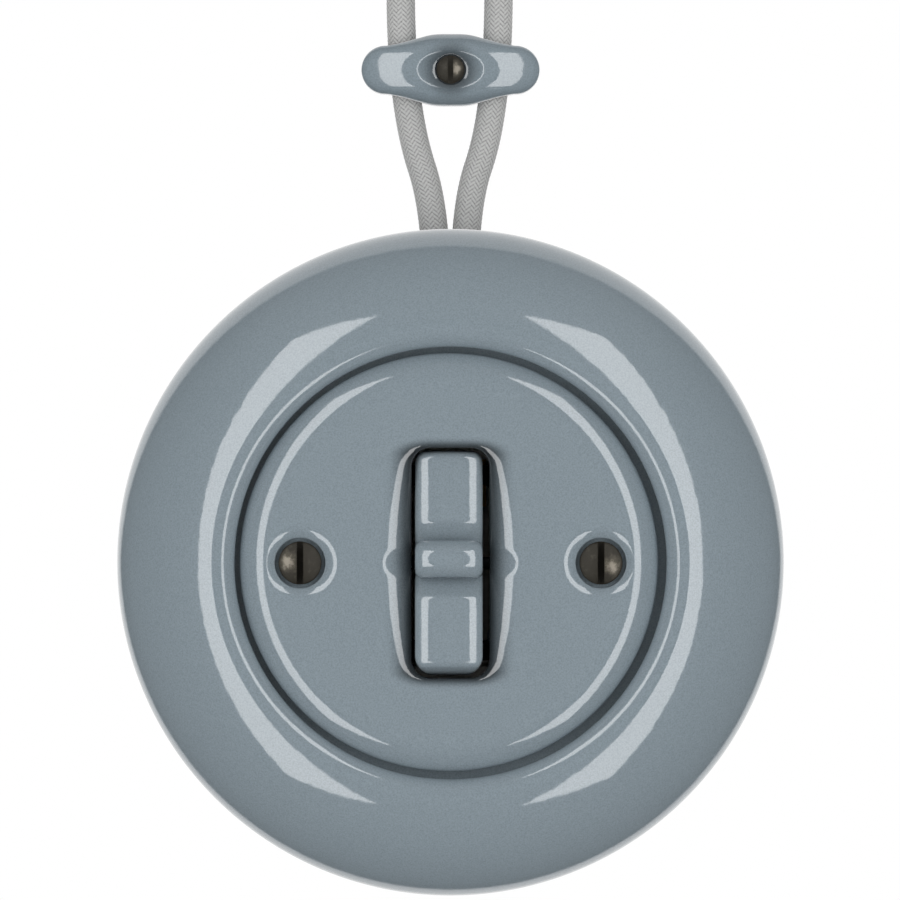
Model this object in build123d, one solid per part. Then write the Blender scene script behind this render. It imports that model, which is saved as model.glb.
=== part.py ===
from build123d import *
import math
import os

# Surface-mounted porcelain toggle switch, in millimetres.
# X runs to the right, Z runs up, the wall is the plane Y = 0 and the front looks along -Y.
# "Depth" below is the distance in front of the wall, so a point at depth d has Y = -d.

os.makedirs("parts", exist_ok=True)

# Housing ring
RING_R = 60.0            # widest radius
RING_FOOT_R = 59.1       # radius where the side meets the wall
CREST_R = 41.9           # radius of the ring's highest line
CREST_DEPTH = 44.0
INNER_ROLL = 3.3         # radius of the roll into the well
ROLL_TILT = 17.0         # where the inner roll hands over to the big dome curve, in degrees
SHELL = 5.2              # porcelain wall
WELL_R = CREST_R - INNER_ROLL
LEDGE_DEPTH = 37.0       # the cover plate rests here
LEDGE_R = 34.6
LEDGE_THICK = 3.8
FOOT_EDGE = 0.9
CORD_GATE_HALF = 6.8     # opening for the cords under the ring's upper edge
CORD_GATE_DEPTH = 9.4

# Cover plate
PLATE_R = 37.9
PLATE_FACE = 43.4
PLATE_FLAT_R = 26.0
PLATE_SHOULDER_R = 31.4
SHOULDER_TILT = 4.0
EDGE_TILT = 45.0
PLATE_EDGE = 1.6         # radius of the plate's outer edge
PLATE_BACK = 37.6        # underside inside the rim
SCREW_X = 26.9           # cover screws stand this far left and right of the centre
WELL_BORE = 4.3
WELL_MOUTH = 7.33        # the well's lip starts here, level with the face
WELL_FLOOR = 40.4
WELL_LIP = 4.5           # radius of the lip's roll
PLATE_HOLE = 2.3

# Slot in the cover plate, and the lip that rolls down into it
SLOT_W = 13.9
SLOT_H = 41.2
SLOT_CORNER = 2.9
LIP_DROP = 3.5
LIP_W = 25.0             # outline of the lip at mid height
LIP_SHOULDER_W = 19.2    # and near its ends
LIP_H = 45.4
LIP_CORNER = 5.2
LIP_START_TILT = 20.0
SADDLE_R = 4.6           # shallow groove across the lip, in line with the ridge
SADDLE_SINK = 1.7
SADDLE_REACH = 9.4       # the groove's round ends start here

# Rocker, described about its pivot: "out" is the distance in front of the pivot
PIVOT_DEPTH = 36.9
REST_TILT = -6.5         # the photograph's position, upper half pressed in
ROCKER_W = 12.1
ROCKER_X = -0.3          # it sits a little left of centre in its slot
ROCKER_END_R = 19.95     # the ends are round about the pivot
ROCKER_CORNER = 2.3
PADDLE_OUT = 6.85
RIDGE_OUT = 6.9
RIDGE_R = 3.3
VALLEY_START = 7.5       # each paddle rolls down into a valley beside the ridge
VALLEY_ROLL = 2.0
VALLEY_TILT = 30.0
VALLEY_R = 6.0
PADDLE_END = 1.6         # rounding at the paddles' outer ends
CROWN_R = 13.0
ROCKER_EDGE = 0.8
PADDLE_UNDER = 3.2
SIDE_UNDER = 1.6
SKIRT = 2.7
POCKET_HALF = 3.9

# Pivot, stirrup and plunger
PIN_R = 1.1
PIN_HALF = 9.6
HUB_R = 2.6
TUBE_END = 13.0
TUBE_BORE = 1.65
BORE_TOP = 3.0
SPRING_END = 8.0
PLUNGER_R = 1.6
NOSE = 20.0              # from the pivot to the tip of the plunger
PLUNGER_TRAVEL = 0.6

# Contact blade, turning opposite to the rocker
BLADE_DEPTH = 16.3
BLADE_TILT = 8.0
BLADE_HALF_L = 14.0
BLADE_HALF_W = 3.0
BLADE_THICK = 1.0
TRUNNION_R = 0.6
CONTACT_Z = 12.5
CONTACT_TOP = 13.15

# Base, tray and frame
BASE_R = 53.5
BASE_THICK = 5.0
GROOVE_DEPTH = 2.5       # floor of the cord groove in the base
GROOVE_HALF = 7.2
TRAY_X = 15.0
TRAY_Z = 21.5
TRAY_WALL = 3.0
TRAY_FLOOR = 9.0
TRAY_TOP = 31.0
PILLAR_X = 27.0
PILLAR_Z = 13.0
PILLAR_R = 4.5
FRAME_BACK = 32.5
FRAME_THICK = 1.5
FRAME_X = 31.0
FRAME_Z = 17.5
WINDOW_X = 7.2
WINDOW_Z = 14.0
EAR_TOP = 38.7
EAR_HALF = 3.2
BOSS_R = 4.2
BOSS_BACK = 29.0
WALL_HOLE_X = 38.0
WALL_HOLE_R = 2.25
STRIP = 1.0              # brass strip thickness
BODY_SCREW_X = 9.2
BODY_SCREW_Z = 13.5
TERMINAL_X = 3.6         # terminal screws
TERMINAL_Z = 28.0
STRIP_EDGE = 6.4         # outer edge of the strips and terminals

# Cords and their clip
CORD_R = 2.6
CORD_DEPTH = 6.0
CORD_END_Z = 108.0
CORD_ROUTES = {
    "cord_left": [(-3.6, 32.0), (-2.2, 58.0), (-8.96, 87.5), (-8.96, CORD_END_Z)],
    "cord_right": [(3.5, 32.0), (2.1, 58.2), (8.68, 87.3), (8.68, CORD_END_Z)],
}
GRIP_CLEAR = 0.15
CLAMP_Z = 46.0
CLAMP_HALF = 3.5
CLAMP_STRAP = 1.2
CLAMP_SCREW_X = 10.2
CLIP_Z = 88.9
CLIP_EDGE = [(11.75, 4.35), (8.6, 4.93), (6.2, 5.62), (3.2, 6.38), (0, 6.5)]   # upper right edge, from the lobe
CLIP_END_X = 16.1
CLIP_BASE_TOP = 5.9
CLIP_CAP_BACK = 6.1
CLIP_TOP = 13.8
CLIP_CROWN_ALONG = 33.0  # the cap is crowned both ways
CLIP_CROWN_UP = 9.0
CLIP_ROUND = 2.0
DISH_DEPTH = 2.6
CLIP_HOLE = 2.85
CAP_Z = 112.6            # wall caps that the cords go into
CAP_R = 7.6
CAP_TOP = 13.5

FRONT = Plane(origin=(0, 0, 0), x_dir=(1, 0, 0), z_dir=(0, -1, 0))


def block(x0, x1, d0, d1, z0, z1):
    """Box between two sides, two depths and two heights."""
    middle = Pos((x0 + x1) / 2, -(d0 + d1) / 2, (z0 + z1) / 2)
    return middle * Box(x1 - x0, d1 - d0, z1 - z0)


def post(radius, d0, d1, x=0.0, z=0.0):
    """Round bar square to the wall, from depth d0 to depth d1."""
    return Pos(x, -(d0 + d1) / 2, z) * Rot(90, 0, 0) * Cylinder(radius, d1 - d0)


def bar(radius, x0, x1, depth, z=0.0):
    """Round bar along X."""
    return Pos((x0 + x1) / 2, -depth, z) * Rot(0, 90, 0) * Cylinder(radius, x1 - x0)


def tilt_arc(centre, radius, tilt_0, tilt_1):
    """Arc of a turned profile in radius and depth, tilt 0 facing the front."""
    points = []
    for tilt in (tilt_0, (tilt_0 + tilt_1) / 2, tilt_1):
        a = math.radians(tilt)
        points.append((centre[0] + radius * math.sin(a), -centre[1] - radius * math.cos(a)))
    return ThreePointArc(*points)


def turned(edges, x=0.0, z=0.0):
    """Solid of revolution about an axis square to the wall."""
    return Pos(x, 0, z) * revolve(make_face(edges), axis=Axis.Y)


def path_points(points):
    """Straight edges through (radius, depth) points."""
    return Polyline(*[(r, -d) for r, d in points])


def raised_screw(head_r, seat, rim, top, shank_r, tip, x, z, slot_w):
    """Slotted screw: a short rim, a low dome and a plain shank."""
    bulge = ThreePointArc((head_r, -rim), (head_r * 0.55, -rim - (top - rim) * 0.74), (0, -top))
    outline = path_points([(0, top), (0, tip), (shank_r, tip), (shank_r, seat), (head_r, seat), (head_r, rim)])
    body = turned(outline + bulge, x, z)
    cut_depth = (top - seat) * 0.45
    cutter = Box(slot_w, 2 * cut_depth, 4 * head_r)
    return body - Pos(x, -top, z) * cutter


def dome_centre():
    """Radius and centre of the ring's big outer curve."""
    s = math.sin(math.radians(ROLL_TILT))
    c = math.cos(math.radians(ROLL_TILT))
    radius = (RING_R - CREST_R - INNER_ROLL * s) / (1 - s)
    roll_depth = CREST_DEPTH - INNER_ROLL
    return radius, (CREST_R + (INNER_ROLL - radius) * s, roll_depth + (INNER_ROLL - radius) * c)


def surround():
    """The domed ring: a shell with a hanging inner wall and a ledge for the plate."""
    radius, centre = dome_centre()
    roll = (CREST_R, CREST_DEPTH - INNER_ROLL)
    inner_r = radius - SHELL
    bend = 22.0
    wall_x = centre[0] + inner_r * math.sin(math.radians(bend))
    wall_d = centre[1] + inner_r * math.cos(math.radians(bend))
    belt = centre[1]
    side_mid = (RING_R + RING_FOOT_R) / 2 + 0.22
    skin = tilt_arc(roll, INNER_ROLL, -90, ROLL_TILT)
    skin += tilt_arc(centre, radius, ROLL_TILT, 90)
    skin += ThreePointArc((RING_R, -belt), (side_mid, -belt / 2), (RING_FOOT_R, -FOOT_EDGE))
    skin += path_points([(RING_FOOT_R, FOOT_EDGE), (RING_FOOT_R - FOOT_EDGE, 0), (RING_R - SHELL, 0),
                         (RING_R - SHELL, belt)])
    skin += tilt_arc(centre, inner_r, 90, bend)
    skin += path_points([(wall_x, wall_d), (wall_x, LEDGE_DEPTH - LEDGE_THICK),
                         (LEDGE_R, LEDGE_DEPTH - LEDGE_THICK), (LEDGE_R, LEDGE_DEPTH),
                         (WELL_R, LEDGE_DEPTH), (WELL_R, CREST_DEPTH - INNER_ROLL)])
    ring = turned(skin)
    gate = FRONT * Pos(0, RING_R - 4) * RectangleRounded(2 * CORD_GATE_HALF, 20, 1)
    return ring - extrude(gate, CORD_GATE_DEPTH)


def plate_blank():
    """The turned cover plate before its openings are cut."""
    flat_rise = (PLATE_SHOULDER_R - PLATE_FLAT_R) / math.sin(math.radians(SHOULDER_TILT))
    first = (PLATE_FLAT_R, PLATE_FACE - flat_rise)
    s0, c0 = math.sin(math.radians(SHOULDER_TILT)), math.cos(math.radians(SHOULDER_TILT))
    s1, c1 = math.sin(math.radians(EDGE_TILT)), math.cos(math.radians(EDGE_TILT))
    roll_r = (PLATE_R - PLATE_SHOULDER_R - PLATE_EDGE * (1 - s1)) / (s1 - s0)
    shoulder_d = first[1] + flat_rise * c0
    second = (PLATE_SHOULDER_R - roll_r * s0, shoulder_d - roll_r * c0)
    third = (second[0] + (roll_r - PLATE_EDGE) * s1, second[1] + (roll_r - PLATE_EDGE) * c1)
    rim_in = LEDGE_R + 0.3
    skin = path_points([(0, PLATE_FACE), (PLATE_FLAT_R, PLATE_FACE)])
    skin += tilt_arc(first, flat_rise, 0, SHOULDER_TILT)
    skin += tilt_arc(second, roll_r, SHOULDER_TILT, EDGE_TILT)
    skin += tilt_arc(third, PLATE_EDGE, EDGE_TILT, 90)
    skin += path_points([(PLATE_R, third[1]), (PLATE_R, LEDGE_DEPTH), (rim_in, LEDGE_DEPTH),
                         (rim_in - 0.6, PLATE_BACK), (0, PLATE_BACK), (0, PLATE_FACE)])
    return turned(skin)


def lip_outline(share, depth):
    """Outline between the slot (share 0) and the lip's outer edge (share 1)."""
    def mix(a, b):
        return a + (b - a) * share
    half_mid = mix(SLOT_W, LIP_W) / 2
    half_end = mix(SLOT_W - 0.02, LIP_SHOULDER_W) / 2
    half_h = mix(SLOT_H, LIP_H) / 2
    corner = mix(SLOT_CORNER, LIP_CORNER)
    z = half_h - corner
    x = half_end - corner
    k = corner * math.sqrt(0.5)
    right = ThreePointArc((half_end, -z), (half_mid, 0), (half_end, z))
    left = ThreePointArc((-half_end, z), (-half_mid, 0), (-half_end, -z))
    outline = right
    outline += ThreePointArc((half_end, z), (x + k, z + k), (x, half_h))
    outline += Line((x, half_h), (-x, half_h))
    outline += ThreePointArc((-x, half_h), (-x - k, z + k), (-half_end, z))
    outline += left
    outline += ThreePointArc((-half_end, -z), (-x - k, -z - k), (-x, -half_h))
    outline += Line((-x, -half_h), (x, -half_h))
    outline += ThreePointArc((x, -half_h), (x + k, -z - k), (half_end, -z))
    return FRONT.offset(depth) * make_face(outline)


def lip_cut():
    """Space above the rolled lip, its surface turning from the face to the slot wall."""
    start = math.radians(LIP_START_TILT)
    sections = []
    for tilt in (LIP_START_TILT, 35.0, 62.0, 90.0):
        a = math.radians(tilt)
        share = (1 - math.sin(a)) / (1 - math.sin(start))
        drop = LIP_DROP * (math.cos(start) - math.cos(a)) / math.cos(start)
        sections.append(lip_outline(share, PLATE_FACE - drop))
    roll = loft(sections)
    return roll + extrude(lip_outline(1.0, PLATE_FACE), 1.0)


def cover_plate():
    """Round plate with the rocker's slot, its rolled lip and two screw wells."""
    plate = plate_blank() - lip_cut()
    slot = FRONT.offset(PLATE_BACK - 1) * RectangleRounded(SLOT_W, SLOT_H, SLOT_CORNER)
    plate -= extrude(slot, 8)
    saddle_depth = PLATE_FACE + SADDLE_R - SADDLE_SINK
    plate -= bar(SADDLE_R, -SADDLE_REACH, SADDLE_REACH, saddle_depth)
    for x in (-SADDLE_REACH, SADDLE_REACH):
        plate -= Pos(x, -saddle_depth, 0) * Sphere(SADDLE_R)
    plate -= block(-12, 12, PLATE_BACK - 1, EAR_TOP + 0.3, -EAR_HALF - 0.8, EAR_HALF + 0.8)
    for x in (-SCREW_X, SCREW_X):
        tilt = math.degrees(math.asin((WELL_MOUTH - WELL_BORE) / WELL_LIP))
        step = PLATE_FACE - WELL_LIP * (1 - math.cos(math.radians(tilt)))
        mouth = path_points([(0, PLATE_FACE + 2), (0, WELL_FLOOR), (WELL_BORE, WELL_FLOOR), (WELL_BORE, step)])
        mouth += tilt_arc((WELL_MOUTH, PLATE_FACE - WELL_LIP), WELL_LIP, -tilt, 0)
        mouth += path_points([(WELL_MOUTH, PLATE_FACE), (WELL_MOUTH, PLATE_FACE + 2), (0, PLATE_FACE + 2)])
        plate -= turned(mouth, x)
        plate -= post(PLATE_HOLE, PLATE_BACK - 1, PLATE_FACE, x)
    return plate


def about_pivot(shape, tilt=REST_TILT):
    """Puts a shape drawn round the pivot in its place, turned about the pivot."""
    return Pos(0, -PIVOT_DEPTH, 0) * Rot(tilt, 0, 0) * shape


def is_rim(edge):
    """True for an edge between the rocker's crowned front and its upright sides."""
    start, middle, end = edge @ 0, edge @ 0.5, edge @ 1
    upright = max(abs(start.X - end.X), abs(start.Z - end.Z)) < 0.01
    on_side = abs(abs(middle.X) - ROCKER_W / 2) < 0.01
    return on_side and not upright


def valley_point(z, out, radius, tilt):
    """Point on a roll that starts level at height z and turns down towards the ridge."""
    a = math.radians(tilt)
    return z - radius * math.sin(a), out + radius * math.cos(a)


def rocker():
    """Porcelain key: one side profile swept over a crown, cut to a rounded oblong."""
    front_z = math.sqrt(ROCKER_END_R ** 2 - PADDLE_OUT ** 2)
    end_a = math.atan2(PADDLE_OUT, front_z) / 2
    end_mid = (ROCKER_END_R * math.sin(end_a), ROCKER_END_R * math.cos(end_a))
    roll_z, roll_out = valley_point(VALLEY_START, PADDLE_OUT - VALLEY_ROLL, VALLEY_ROLL, VALLEY_TILT)
    half_z, half_out = valley_point(VALLEY_START, PADDLE_OUT - VALLEY_ROLL, VALLEY_ROLL, VALLEY_TILT / 2)
    floor_z = roll_z - VALLEY_R * math.sin(math.radians(VALLEY_TILT))
    floor_out = roll_out - VALLEY_R * (1 - math.cos(math.radians(VALLEY_TILT)))
    bend_z = floor_z + VALLEY_R * math.sin(math.radians(VALLEY_TILT / 2))
    bend_out = floor_out + VALLEY_R * (1 - math.cos(math.radians(VALLEY_TILT / 2)))
    ridge_z = math.sqrt(RIDGE_R ** 2 - (floor_out - RIDGE_OUT) ** 2)

    def half(side):
        line = Line((-PADDLE_OUT, side * VALLEY_START), (-PADDLE_OUT, side * front_z))
        line += ThreePointArc((-PADDLE_OUT, side * VALLEY_START), (-half_out, side * half_z), (-roll_out, side * roll_z))
        line += ThreePointArc((-roll_out, side * roll_z), (-bend_out, side * bend_z), (-floor_out, side * floor_z))
        line += Line((-floor_out, side * floor_z), (-floor_out, side * ridge_z))
        line += ThreePointArc((-PADDLE_OUT, side * front_z), (-end_mid[0], side * end_mid[1]),
                              (0, side * ROCKER_END_R))
        return line
    outline = half(1) + half(-1) + Line((0, ROCKER_END_R), (0, -ROCKER_END_R))
    outline += ThreePointArc((-floor_out, ridge_z), (-RIDGE_OUT - RIDGE_R, 0), (-floor_out, -ridge_z))
    profile = Plane.YZ * make_face(outline)
    ends = [corner for corner in profile.vertices() if corner.Y < 1 - PADDLE_OUT and abs(corner.Z) > VALLEY_START + 1]
    profile = fillet(ends, PADDLE_END)
    crown_axis = Axis((0, CROWN_R - PADDLE_OUT, 0), (0, 0, 1))
    sweep_angle = 80
    body = revolve(profile, axis=crown_axis, revolution_arc=sweep_angle / 2)
    body += revolve(profile, axis=crown_axis, revolution_arc=-sweep_angle / 2)
    plan = FRONT * RectangleRounded(ROCKER_W, 2 * ROCKER_END_R, ROCKER_CORNER)
    body = body & extrude(plan, 16)
    skin = [edge for edge in body.edges() if (edge @ 0.5).Y < -1.0 and is_rim(edge)]
    body = fillet(skin, ROCKER_EDGE)
    body -= block(-POCKET_HALF, POCKET_HALF, -4, PADDLE_UNDER, SKIRT - ROCKER_END_R, ROCKER_END_R - SKIRT)
    body -= block(-ROCKER_W, ROCKER_W, -4, SIDE_UNDER, SKIRT - ROCKER_END_R, ROCKER_END_R - SKIRT)
    return body


def rocker_carrier():
    """Brass stirrup cemented in the rocker, with a hub on the pin and the plunger tube."""
    head = block(-POCKET_HALF + 0.1, POCKET_HALF - 0.1, -1.0, PADDLE_UNDER, -4.0, 4.0)
    hub = bar(HUB_R, -POCKET_HALF + 0.1, POCKET_HALF - 0.1, 0)
    body = head + hub + post(HUB_R, -TUBE_END, 0)
    body -= post(TUBE_BORE, -TUBE_END - 1, -BORE_TOP)
    return body - bar(PIN_R + 0.03, -5, 5, 0)


def pivot_pin():
    """Steel pin with a flat head at one end."""
    return bar(PIN_R, -PIN_HALF, PIN_HALF, PIVOT_DEPTH) + bar(PIN_R + 0.7, PIN_HALF, PIN_HALF + 0.8, PIVOT_DEPTH)


def plunger():
    """Round-nosed plunger that slides in the stirrup's tube."""
    nose = NOSE - PLUNGER_R
    return post(PLUNGER_R, -nose, -SPRING_END) + Pos(0, nose, 0) * Sphere(PLUNGER_R)


def plunger_spring():
    """Compression spring behind the plunger, at its pressed length."""
    wire, coil_r, turns = 0.35, 1.25, 5
    length = SPRING_END - BORE_TOP - PLUNGER_TRAVEL - wire - 0.1
    helix = Helix(pitch=length / turns, height=length, radius=coil_r)
    ring = Plane(origin=helix @ 0, z_dir=helix % 0) * Circle(wire / 2)
    coil = sweep(ring, path=helix)
    return Pos(0, BORE_TOP + wire / 2 + 0.05, 0) * Rot(-90, 0, 0) * coil


def contact_blade():
    """Springy brass blade with two side trunnions."""
    half_t = BLADE_THICK / 2
    blade = block(-BLADE_HALF_W, BLADE_HALF_W, -half_t, half_t, -BLADE_HALF_L, BLADE_HALF_L)
    blade = fillet(blade.edges().filter_by(Axis.Y), 1.2)
    return blade + bar(TRUNNION_R, -BLADE_HALF_W - 1.5, BLADE_HALF_W + 1.5, 0)


def blade_rivets():
    """Two contact rivets on the wall side of the blade."""
    back = -BLADE_THICK / 2
    return [post(1.4, back - 0.6, back, 0, z) for z in (-CONTACT_Z, CONTACT_Z)]


def about_blade(shape):
    """Puts a shape drawn round the blade's axis in its place at rest."""
    return Pos(0, -BLADE_DEPTH, 0) * Rot(BLADE_TILT, 0, 0) * shape


def fulcrum_bracket():
    """Cradle for the blade's trunnions, with a flat strip out to the left terminal."""
    top = BLADE_DEPTH + 1.8
    floor = TRAY_FLOOR
    inner, outer = BLADE_HALF_W + 0.3, BLADE_HALF_W + 1.3
    body = block(-STRIP_EDGE, outer, floor, floor + STRIP, -3, 3)
    body += block(-outer, -inner, floor, top, -3, 3) + block(inner, outer, floor, top, -3, 3)
    body += block(-STRIP_EDGE, 0.5 - BLADE_HALF_W - 1, floor, floor + STRIP, 0, 22.5)
    body += block(-STRIP_EDGE, -1.0, floor, floor + STRIP, 22, 30.5)
    body -= bar(TRUNNION_R + 0.05, -6, 6, BLADE_DEPTH)
    return body - post(1.35, floor - 1, floor + 2, -TERMINAL_X, TERMINAL_Z)


def fixed_contact():
    """Contact post under the blade's upper end, with a strip to the right terminal."""
    floor = TRAY_FLOOR
    body = block(-2.4, STRIP_EDGE, floor, floor + STRIP, CONTACT_Z - 2.5, CONTACT_Z + 2.5)
    body += block(-1.8, 1.8, floor, CONTACT_TOP, CONTACT_Z - 1.5, CONTACT_Z + 1.5)
    body += block(3.5, STRIP_EDGE, floor, floor + STRIP, CONTACT_Z, 22.5)
    body += block(1.0, STRIP_EDGE, floor, floor + STRIP, 22, 30.5)
    return body - post(1.35, floor - 1, floor + 2, TERMINAL_X, TERMINAL_Z)


def contact_stop():
    """Insulating pad that the blade's lower end rests on."""
    pad = block(-3, 3, TRAY_FLOOR, CONTACT_TOP, -CONTACT_Z - 2.2, -CONTACT_Z + 2.2)
    return fillet(pad.edges().filter_by(Axis.Y), 0.8)


def switch_body():
    """Open moulded tray with two screw holes and two notches for the strips."""
    body = block(-TRAY_X, TRAY_X, BASE_THICK, TRAY_TOP, -TRAY_Z, TRAY_Z)
    body = fillet(body.edges().filter_by(Axis.Y), 3)
    inner_x, inner_z = TRAY_X - TRAY_WALL, TRAY_Z - TRAY_WALL
    body -= block(-inner_x, inner_x, TRAY_FLOOR, TRAY_TOP + 1, -inner_z, inner_z)
    for side in (-1, 1):
        x0, x1 = sorted((side * 3.3, side * (STRIP_EDGE + 0.2)))
        body -= block(x0, x1, TRAY_FLOOR, TRAY_FLOOR + STRIP + 0.2, inner_z - 1, TRAY_Z + 1)
        body -= post(1.6, BASE_THICK - 1, TRAY_FLOOR + 1, side * BODY_SCREW_X, -side * BODY_SCREW_Z)
    return body


def plain_screws(places, head_r, seat, head_h, shank_r, tip, slot_w=0.8):
    """Group of cheese-headed slotted screws, one solid each."""
    screws = []
    for number, (x, z) in enumerate(places):
        top = seat + head_h
        body = post(head_r, seat, top, x, z) + post(shank_r, tip, seat, x, z)
        slot = Box(slot_w, head_h, 3 * head_r)
        screws.append(body - Pos(x, -top, z) * Rot(0, 35 * number, 0) * slot)
    return screws


def wall_base():
    """Insulating disc on the wall, with pillars for the frame and the cord groove."""
    base = post(BASE_R, 0, BASE_THICK)
    base -= block(-GROOVE_HALF, GROOVE_HALF, GROOVE_DEPTH, BASE_THICK + 1, TRAY_Z, BASE_R + 2)
    for x in (-PILLAR_X, PILLAR_X):
        for z in (-PILLAR_Z, PILLAR_Z):
            base += post(PILLAR_R, BASE_THICK - 1, FRAME_BACK, x, z)
            base -= post(1.5, FRAME_BACK - 12, FRAME_BACK + 1, x, z)
    for x in (-WALL_HOLE_X, WALL_HOLE_X):
        base -= post(WALL_HOLE_R, -1, BASE_THICK + 1, x)
        mouth = path_points([(0, BASE_THICK), (0, 3.2), (WALL_HOLE_R, 3.2), (4.1, BASE_THICK), (0, BASE_THICK)])
        base -= turned(mouth, x)
    for side in (-1, 1):
        base -= post(1.5, 1.5, BASE_THICK + 1, side * BODY_SCREW_X, -side * BODY_SCREW_Z)
        base -= post(1.45, 1.5, BASE_THICK + 1, side * CLAMP_SCREW_X, CLAMP_Z)
    return base


def mounting_frame():
    """Steel plate on the pillars, with ears for the pin and two tapped bosses."""
    plate = FRONT.offset(FRAME_BACK) * RectangleRounded(2 * FRAME_X, 2 * FRAME_Z, 5)
    window = FRONT.offset(FRAME_BACK) * RectangleRounded(2 * WINDOW_X, 2 * WINDOW_Z, 1.5)
    body = extrude(plate, FRAME_THICK) - extrude(window, FRAME_THICK)
    for side in (-1, 1):
        x0, x1 = sorted((side * WINDOW_X, side * (WINDOW_X + FRAME_THICK)))
        ear = block(x0, x1, FRAME_BACK, EAR_TOP, -EAR_HALF, EAR_HALF)
        ear = fillet(ear.edges().filter_by(Axis.X).sort_by(Axis.Y)[:2], 1.2)
        body += ear + post(BOSS_R, BOSS_BACK, FRAME_BACK + 0.1, side * SCREW_X)
        body -= post(2.02, BOSS_BACK - 1, FRAME_BACK + 3, side * SCREW_X)
        for z in (-PILLAR_Z, PILLAR_Z):
            body -= post(1.9, FRAME_BACK - 1, FRAME_BACK + 3, side * PILLAR_X, z)
    return body - bar(PIN_R + 0.02, -PIN_HALF, PIN_HALF, PIVOT_DEPTH)


def terminal(side, x):
    """Brass block with a hole for the wire and a tapped hole for its screw."""
    x0, x1 = sorted((side * 0.9, side * STRIP_EDGE))
    body = block(x0, x1, GROOVE_DEPTH, TRAY_FLOOR, 22.2, 31)
    body -= Pos(x, -CORD_DEPTH, TERMINAL_Z) * Cylinder(1.3, 8)
    return body - post(1.3, CORD_DEPTH, TRAY_FLOOR + 1, side * TERMINAL_X, TERMINAL_Z)


def cord_clamp():
    """Bridge-shaped strap over both cords, screwed to the base."""
    z0, z1 = CLAMP_Z - CLAMP_HALF, CLAMP_Z + CLAMP_HALF
    under = CORD_DEPTH + CORD_R + 0.1
    body = block(-7.2, 7.2, under, under + CLAMP_STRAP, z0, z1)
    for side in (-1, 1):
        x0, x1 = sorted((side * 6.2, side * 7.4))
        body += block(x0, x1, BASE_THICK, under + CLAMP_STRAP, z0, z1)
        x0, x1 = sorted((side * 6.2, side * 13.0))
        body += block(x0, x1, BASE_THICK, BASE_THICK + CLAMP_STRAP, z0, z1)
    for x in (-CLAMP_SCREW_X, CLAMP_SCREW_X):
        body -= post(1.6, BASE_THICK - 1, BASE_THICK + 2, x, CLAMP_Z)
    return body


def cord_path(route):
    """Straight runs joined by tangent arcs, each arc as large as its runs allow."""
    places = [Vector(x, -CORD_DEPTH, z) for x, z in route]
    edges, here, radii = [], places[0], []
    for before, corner, after in zip(places, places[1:], places[2:]):
        run_in, run_out = corner - before, after - corner
        turn = math.radians(run_in.get_angle(run_out))
        trim = 0.45 * min(run_in.length, run_out.length)
        radii.append(trim / math.tan(turn / 2))
        start = corner - run_in.normalized() * trim
        end = corner + run_out.normalized() * trim
        edges.append(Line(here, start))
        edges.append(TangentArc(start, end, tangent=run_in.normalized()))
        here = end
    edges.append(Line(here, places[-1]))
    return Wire([edge.edge() if hasattr(edge, "edge") else edge for edge in edges]), radii


def cord_tube(route, radius):
    """Round tube along a cord's route."""
    wire, radii = cord_path(route)
    section = Plane(origin=wire @ 0, z_dir=wire % 0) * Circle(radius)
    return sweep(section, path=wire), wire.length, radii


def clip_outline():
    """Two round lobes that run into a rounder middle."""
    top = CLIP_EDGE + [(-x, z) for x, z in reversed(CLIP_EDGE[:-1])]
    bottom = [(x, -z) for x, z in top]
    lobe_x, lobe_z = CLIP_EDGE[0]
    edge = Spline(top, tangents=[(-1, 0), (-1, 0)]) + Spline(bottom, tangents=[(-1, 0), (-1, 0)])
    for side in (-1, 1):
        edge += ThreePointArc((side * lobe_x, lobe_z), (side * CLIP_END_X, 0), (side * lobe_x, -lobe_z))
    return FRONT * Pos(0, CLIP_Z) * make_face(edge)


def clip_crown():
    """Barrel whose front is crowned along the clip and across it."""
    half = 8.0
    swell = CLIP_CROWN_ALONG - CLIP_CROWN_UP
    rim = swell + math.sqrt(CLIP_CROWN_UP ** 2 - half ** 2)
    outline = Polyline((rim, half), (0, half), (0, -half), (rim, -half))
    bulge = ThreePointArc((rim, -half), (CLIP_CROWN_ALONG, 0), (rim, half))
    barrel = revolve(Plane.XZ * make_face(outline + bulge), Axis.Z)
    return Pos(0, CLIP_CROWN_ALONG - CLIP_TOP, CLIP_Z) * barrel


def cleat_base():
    """Lower half of the clip, flat on the wall, with half-round cord grooves."""
    body = extrude(clip_outline(), CLIP_BASE_TOP)
    body -= post(2.0, -1, CLIP_TOP, 0, CLIP_Z)
    for route in CORD_ROUTES.values():
        body -= cord_tube(route, CORD_R + GRIP_CLEAR)[0]
    return body


def cleat_cap():
    """Glazed upper half of the clip, crowned and rolled over, with an oval dish for its screw."""
    body = Pos(0, -CLIP_CAP_BACK, 0) * extrude(clip_outline(), CLIP_TOP - CLIP_CAP_BACK) & clip_crown()
    body = fillet(body.faces().sort_by(Axis.Y)[0].edges(), CLIP_ROUND)
    bowl = scale(Sphere(10), by=(0.70, 0.5, 0.50))
    body -= Pos(0, -(CLIP_TOP - DISH_DEPTH + 5), CLIP_Z) * bowl
    body -= post(CLIP_HOLE, CLIP_TOP - DISH_DEPTH, CLIP_TOP + 1, 0, CLIP_Z)
    body -= post(2.0, CLIP_CAP_BACK - 1, CLIP_TOP, 0, CLIP_Z)
    for route in CORD_ROUTES.values():
        body -= cord_tube(route, CORD_R + GRIP_CLEAR)[0]
    return body


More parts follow.
